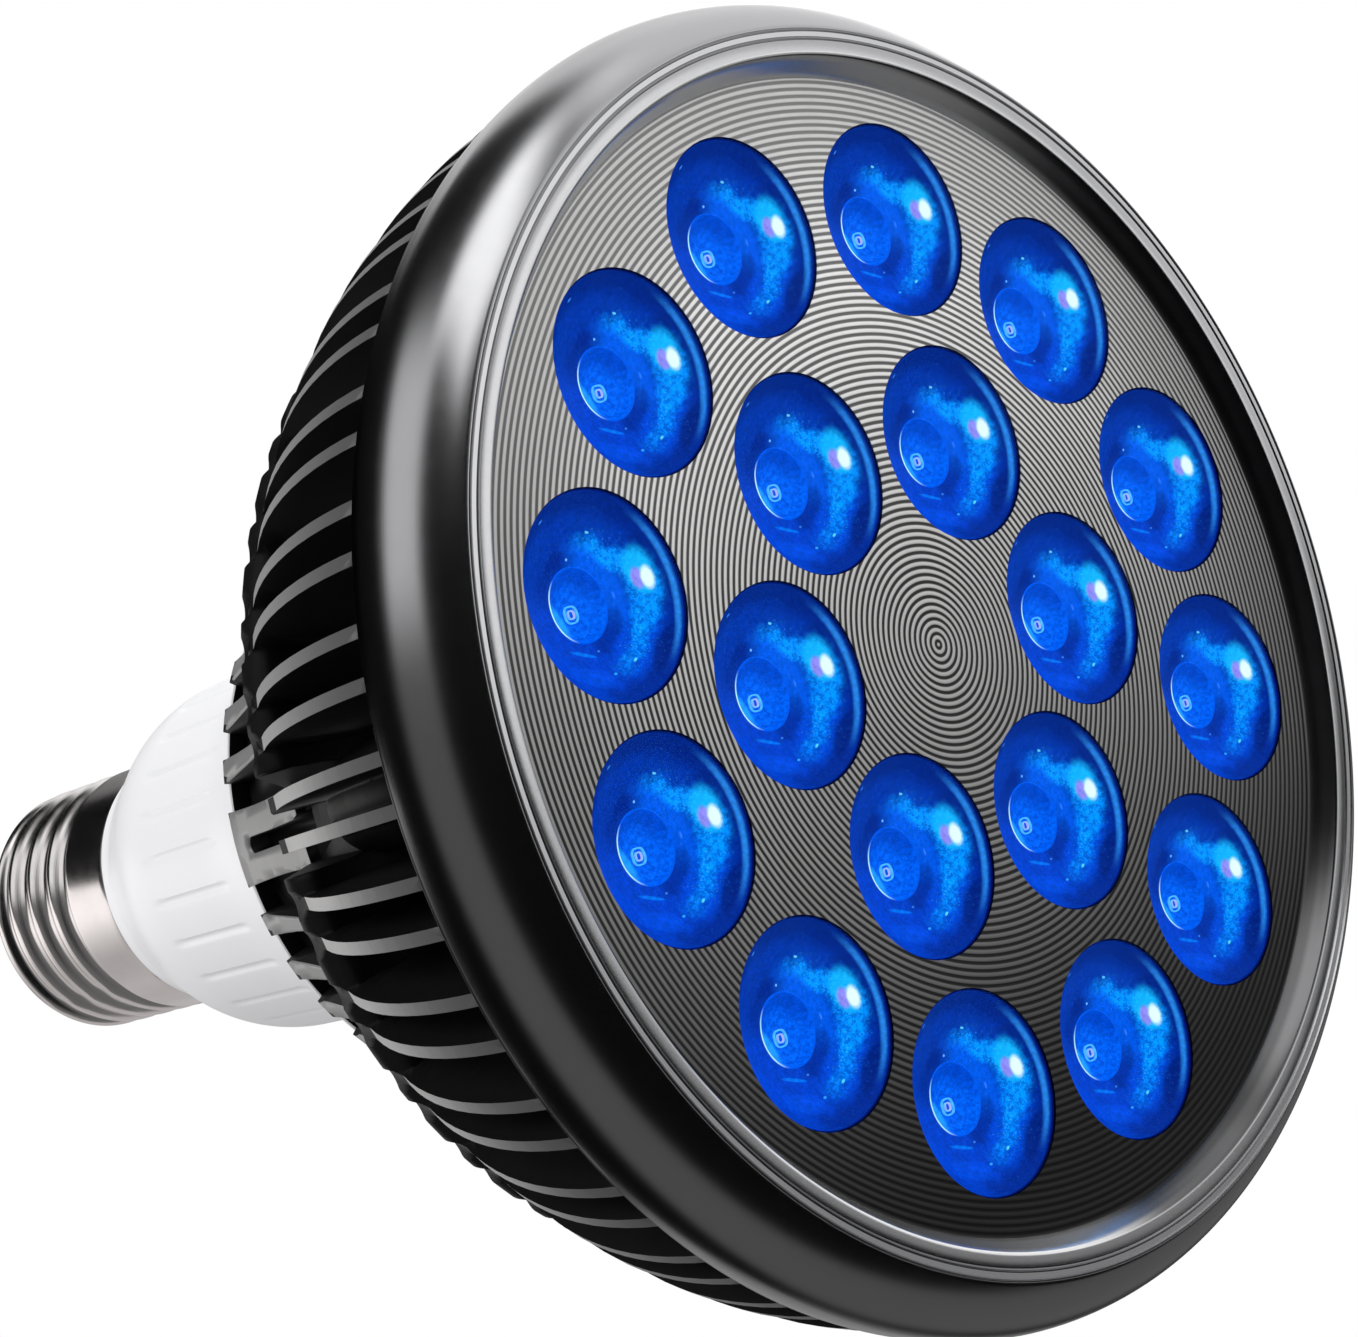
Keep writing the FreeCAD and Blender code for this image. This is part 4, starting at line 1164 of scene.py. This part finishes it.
def floor_material():
    """A pale floor seen from above only: shaded near the bulb, fading to plain white far out."""
    material, write, shader = new_material("pale_floor")
    here = write.place()
    far = write.smooth(write.diagonal(write.split(here)), 0.16, 0.75)
    colour = write.layers((0.88, 0.88, 0.88), (
        (write.noise(here, 6.0, 3.0), (0.92, 0.92, 0.92)),
        (far, (0.0, 0.0, 0.0)),
    ))
    wire(write, shader, Base_Color=colour, Roughness=0.8, Specular_IOR_Level=0.0,
         Emission_Color=rgba((1, 1, 1)), Emission_Strength=write.times_plus(far, 0.76, 0.24))
    material.cycles.emission_sampling = "NONE"
    clear = write.out("ShaderNodeBsdfTransparent")
    below = write.add("ShaderNodeNewGeometry").outputs["Backfacing"]
    mixed = write.out("ShaderNodeMixShader", {0: below, 1: shader.outputs[0], 2: clear})
    set_surface(material, mixed)
    return material


SOFT_BOXES = (
    # level, azimuth, full and fading half widths, low and high elevation, softness, in degrees
    (0.15, -85, 150, 166, -17, 27, 5),
    (0.85, 45, 13, 27, -14, 24, 6),
    (2.30, 85, 6, 23, -44, -7, 6),
    (0.55, 106, 8, 16, -20, 0, 6),
    (0.95, 146, 28, 39, -64, 50, 7),
    (1.40, 167, 7, 17, 10, 44, 7),
    (0.95, 164, 9, 17, -68, -38, 5),
    (0.42, -170, 10, 20, -62, -26, 5),
    (0.35, -138, 20, 36, 36, 60, 6),
)
DARK_LEVEL = 0.005


def surroundings_material():
    """Emission by direction: each soft box is a range of azimuth and elevation, and the top is open."""
    material, write, shader = new_material("surroundings")
    unit = write.out("ShaderNodeVectorMath", {0: write.place()}, operation="NORMALIZE")
    parts = write.split(unit)
    rise = write.math("ARCSINE", parts[2])
    azimuth = write.math("ARCTAN2", parts[1], parts[0])
    level = DARK_LEVEL
    for strength, middle, full, fade, low, high, soft in SOFT_BOXES:
        across = write.facing(azimuth, middle, fade, full)
        over = write.smooth(rise, math.radians(low - soft), math.radians(low + soft))
        under = write.smooth(rise, math.radians(high + soft), math.radians(high - soft))
        level = write.times_plus(write.times(across, write.times(over, under)), strength, level)
    glow = write.out("ShaderNodeEmission", {"Color": (1, 1, 1, 1), "Strength": level})
    clear = write.out("ShaderNodeBsdfTransparent")
    open_top = write.smooth(rise, math.radians(88), math.radians(89.9))
    set_surface(material, write.out("ShaderNodeMixShader", {0: open_top, 1: glow, 2: clear}), shader)
    material.cycles.emission_sampling = "NONE"
    return material


def card_material():
    """A soft warm-white glow, a little uneven and brighter above, for the two near cards."""
    material, write, shader = new_material("shell_card")
    here = write.place()
    upper = write.smooth(write.split(here)[1], -34.0 * MM, -2.0 * MM)
    level = write.times_plus(write.noise(here, 60.0, 3.0), 0.25, 0.42)
    level = write.times_plus(upper, 0.75, level)
    glow = write.out("ShaderNodeEmission", {"Color": (1, 0.975, 0.965, 1), "Strength": level})
    set_surface(material, glow, shader)
    material.cycles.emission_sampling = "NONE"
    return material


def flat_sheet(name, size, matrix, material):
    """A square stage sheet with its place in its mesh."""
    half = size / 2
    corners = [(-half, -half, 0), (half, -half, 0), (half, half, 0), (-half, half, 0)]
    mesh = bpy.data.meshes.new(name)
    mesh.from_pydata(corners, [], [(0, 1, 2, 3)])
    mesh.transform(matrix)
    obj = link_mesh(name, mesh, material)
    return obj


def hide_from(obj, *rays):
    """Hide an object from some kinds of rays."""
    for kind in rays:
        setattr(obj, "visible_" + kind, False)


def aim(place_at, target):
    """The matrix of something at a place that looks along its -Z at a target."""
    away = Vector(target) - Vector(place_at)
    return Matrix.Translation(place_at) @ away.to_track_quat("-Z", "Y").to_matrix().to_4x4()


# Metres, in the part's frame: the middle of the bulb, at which the lamps look, and the shell's.
BULB_MIDDLE = Vector((0, 0, 0.05))
SHELL_MIDDLE = (0, 0, 0.122)
# Name, place from the bulb's middle, side in metres, power in watts.
LAMPS = (
    ("key", (-0.35, 0.75, 0.25), 0.55, 3.1),
    ("side", (0.75, 0.45, 0.35), 0.45, 4.2),
    ("face", (-0.30, 0.40, -0.60), 0.30, 2.2),
)
# Name, side in metres, place. The screw shell mirrors these two.
CARDS = (
    ("shell_card", 0.085, (0.0374, -0.0216, 0.1637)),
    ("low_card", 0.080, (-0.012, -0.050, 0.160)),
)


class BULB_OT_stage(bpy.types.Operator):
    """Set the floor, the reflected surroundings and cards, the lamps, the world and the camera"""

    bl_idname = "bulb.stage"
    bl_label = "Stage"

    def execute(self, context):
        stage = context.scene.bulb_stage
        floor = flat_sheet("floor", 6.0, Matrix.Identity(4), floor_material())
        hide_from(floor, "glossy", "diffuse", "transmission", "shadow")
        self.make_surroundings()
        glow = card_material()
        for name, size, place_at in CARDS:
            card = flat_sheet(name, size, aim(place_at, SHELL_MIDDLE), glow)
            hide_from(card, "camera", "shadow", "diffuse", "transmission")
        for name, offset, size, power in LAMPS:
            self.add_lamp(context, name, BULB_MIDDLE + Vector(offset), size, power)
        self.make_world(context, stage)
        self.make_camera(context, stage)
        context.scene.view_settings.view_transform = "Standard"
        return {"FINISHED"}

    def make_surroundings(self):
        """A painted dome that only reflections see: soft boxes on a dark studio."""
        builder = bmesh.new()
        bmesh.ops.create_uvsphere(builder, u_segments=48, v_segments=24, radius=3.0)
        bmesh.ops.reverse_faces(builder, faces=builder.faces[:])
        obj = link_mesh("surroundings", mesh_of("surroundings", builder), surroundings_material())
        hide_from(obj, "camera", "shadow", "diffuse", "transmission")

    def add_lamp(self, context, name, place_at, size, power):
        """A soft square lamp that looks at the bulb's middle and is not mirrored."""
        data = bpy.data.lights.new(name, "AREA")
        data.shape = "SQUARE"
        data.size = size
        data.energy = power
        obj = bpy.data.objects.new(name, data)
        obj.matrix_world = aim(place_at, BULB_MIDDLE)
        hide_from(obj, "glossy")
        context.scene.collection.objects.link(obj)

    def make_world(self, context, stage):
        """A plain level of light all round, seen as white."""
        world = bpy.data.worlds.new("white_world")
        world.use_nodes = True
        write = Nodes(world.node_tree)
        background = world.node_tree.nodes["Background"]
        path = write.add("ShaderNodeLightPath").outputs
        seen = write.math("MAXIMUM", path["Is Camera Ray"],
                          write.math("MAXIMUM", path["Is Glossy Ray"], path["Is Transmission Ray"]))
        level = write.times_plus(seen, 1.0 - stage.world_level, stage.world_level)
        wire(write, background, Color=(1, 1, 1, 1), Strength=level)
        context.scene.world = world

    def make_camera(self, context, stage):
        """The camera at the photograph's viewing angle."""
        right = Vector(stage.camera_right).normalized()
        up = Vector(stage.camera_up)
        up = (up - right * up.dot(right)).normalized()
        data = bpy.data.cameras.new("camera")
        data.sensor_width = 36.0
        data.sensor_fit = "HORIZONTAL"
        data.lens = stage.focal_length
        data.clip_start = 0.01
        data.clip_end = 20.0
        obj = bpy.data.objects.new("camera", data)
        turn = Matrix((right, up, right.cross(up))).transposed()
        obj.matrix_world = Matrix.Translation(Vector(stage.camera_place)) @ turn.to_4x4()
        context.scene.collection.objects.link(obj)
        context.scene.camera = obj


OPERATORS = (
    BULB_OT_bezel, BULB_OT_plate, BULB_OT_lenses, BULB_OT_heat_sink, BULB_OT_collar,
    BULB_OT_shell, BULB_OT_contact, BULB_OT_inside, BULB_OT_stage,
)


class BULB_PT_panel(bpy.types.Panel):
    """The bulb's pieces, one button each, and the sizes and colours behind them"""

    bl_idname = "BULB_PT_panel"
    bl_label = "Grow light bulb"
    bl_space_type = "VIEW_3D"
    bl_region_type = "UI"
    bl_category = "Bulb"

    def draw(self, context):
        layout = self.layout
        for operator in OPERATORS:
            layout.operator(operator.bl_idname)
        for group in (context.scene.bulb_face, context.scene.bulb_body, context.scene.bulb_stage):
            box = layout.box()
            for name in group.__annotations__:
                box.prop(group, name)


CLASSES = (BulbFace, BulbBody, BulbStage) + OPERATORS + (BULB_PT_panel,)


def register():
    """Register the classes and hang the settings on the scene."""
    for cls in CLASSES:
        bpy.utils.register_class(cls)
    bpy.types.Scene.bulb_face = PointerProperty(type=BulbFace)
    bpy.types.Scene.bulb_body = PointerProperty(type=BulbBody)
    bpy.types.Scene.bulb_stage = PointerProperty(type=BulbStage)


def unregister():
    """Take the settings off the scene and unregister the classes."""
    del bpy.types.Scene.bulb_stage
    del bpy.types.Scene.bulb_body
    del bpy.types.Scene.bulb_face
    for cls in reversed(CLASSES):
        bpy.utils.unregister_class(cls)


def main():
    """Register the add-on and make every piece."""
    register()
    for operator in OPERATORS:
        getattr(bpy.ops.bulb, operator.bl_idname.split(".")[1])()


if __name__ == "__main__":
    main()
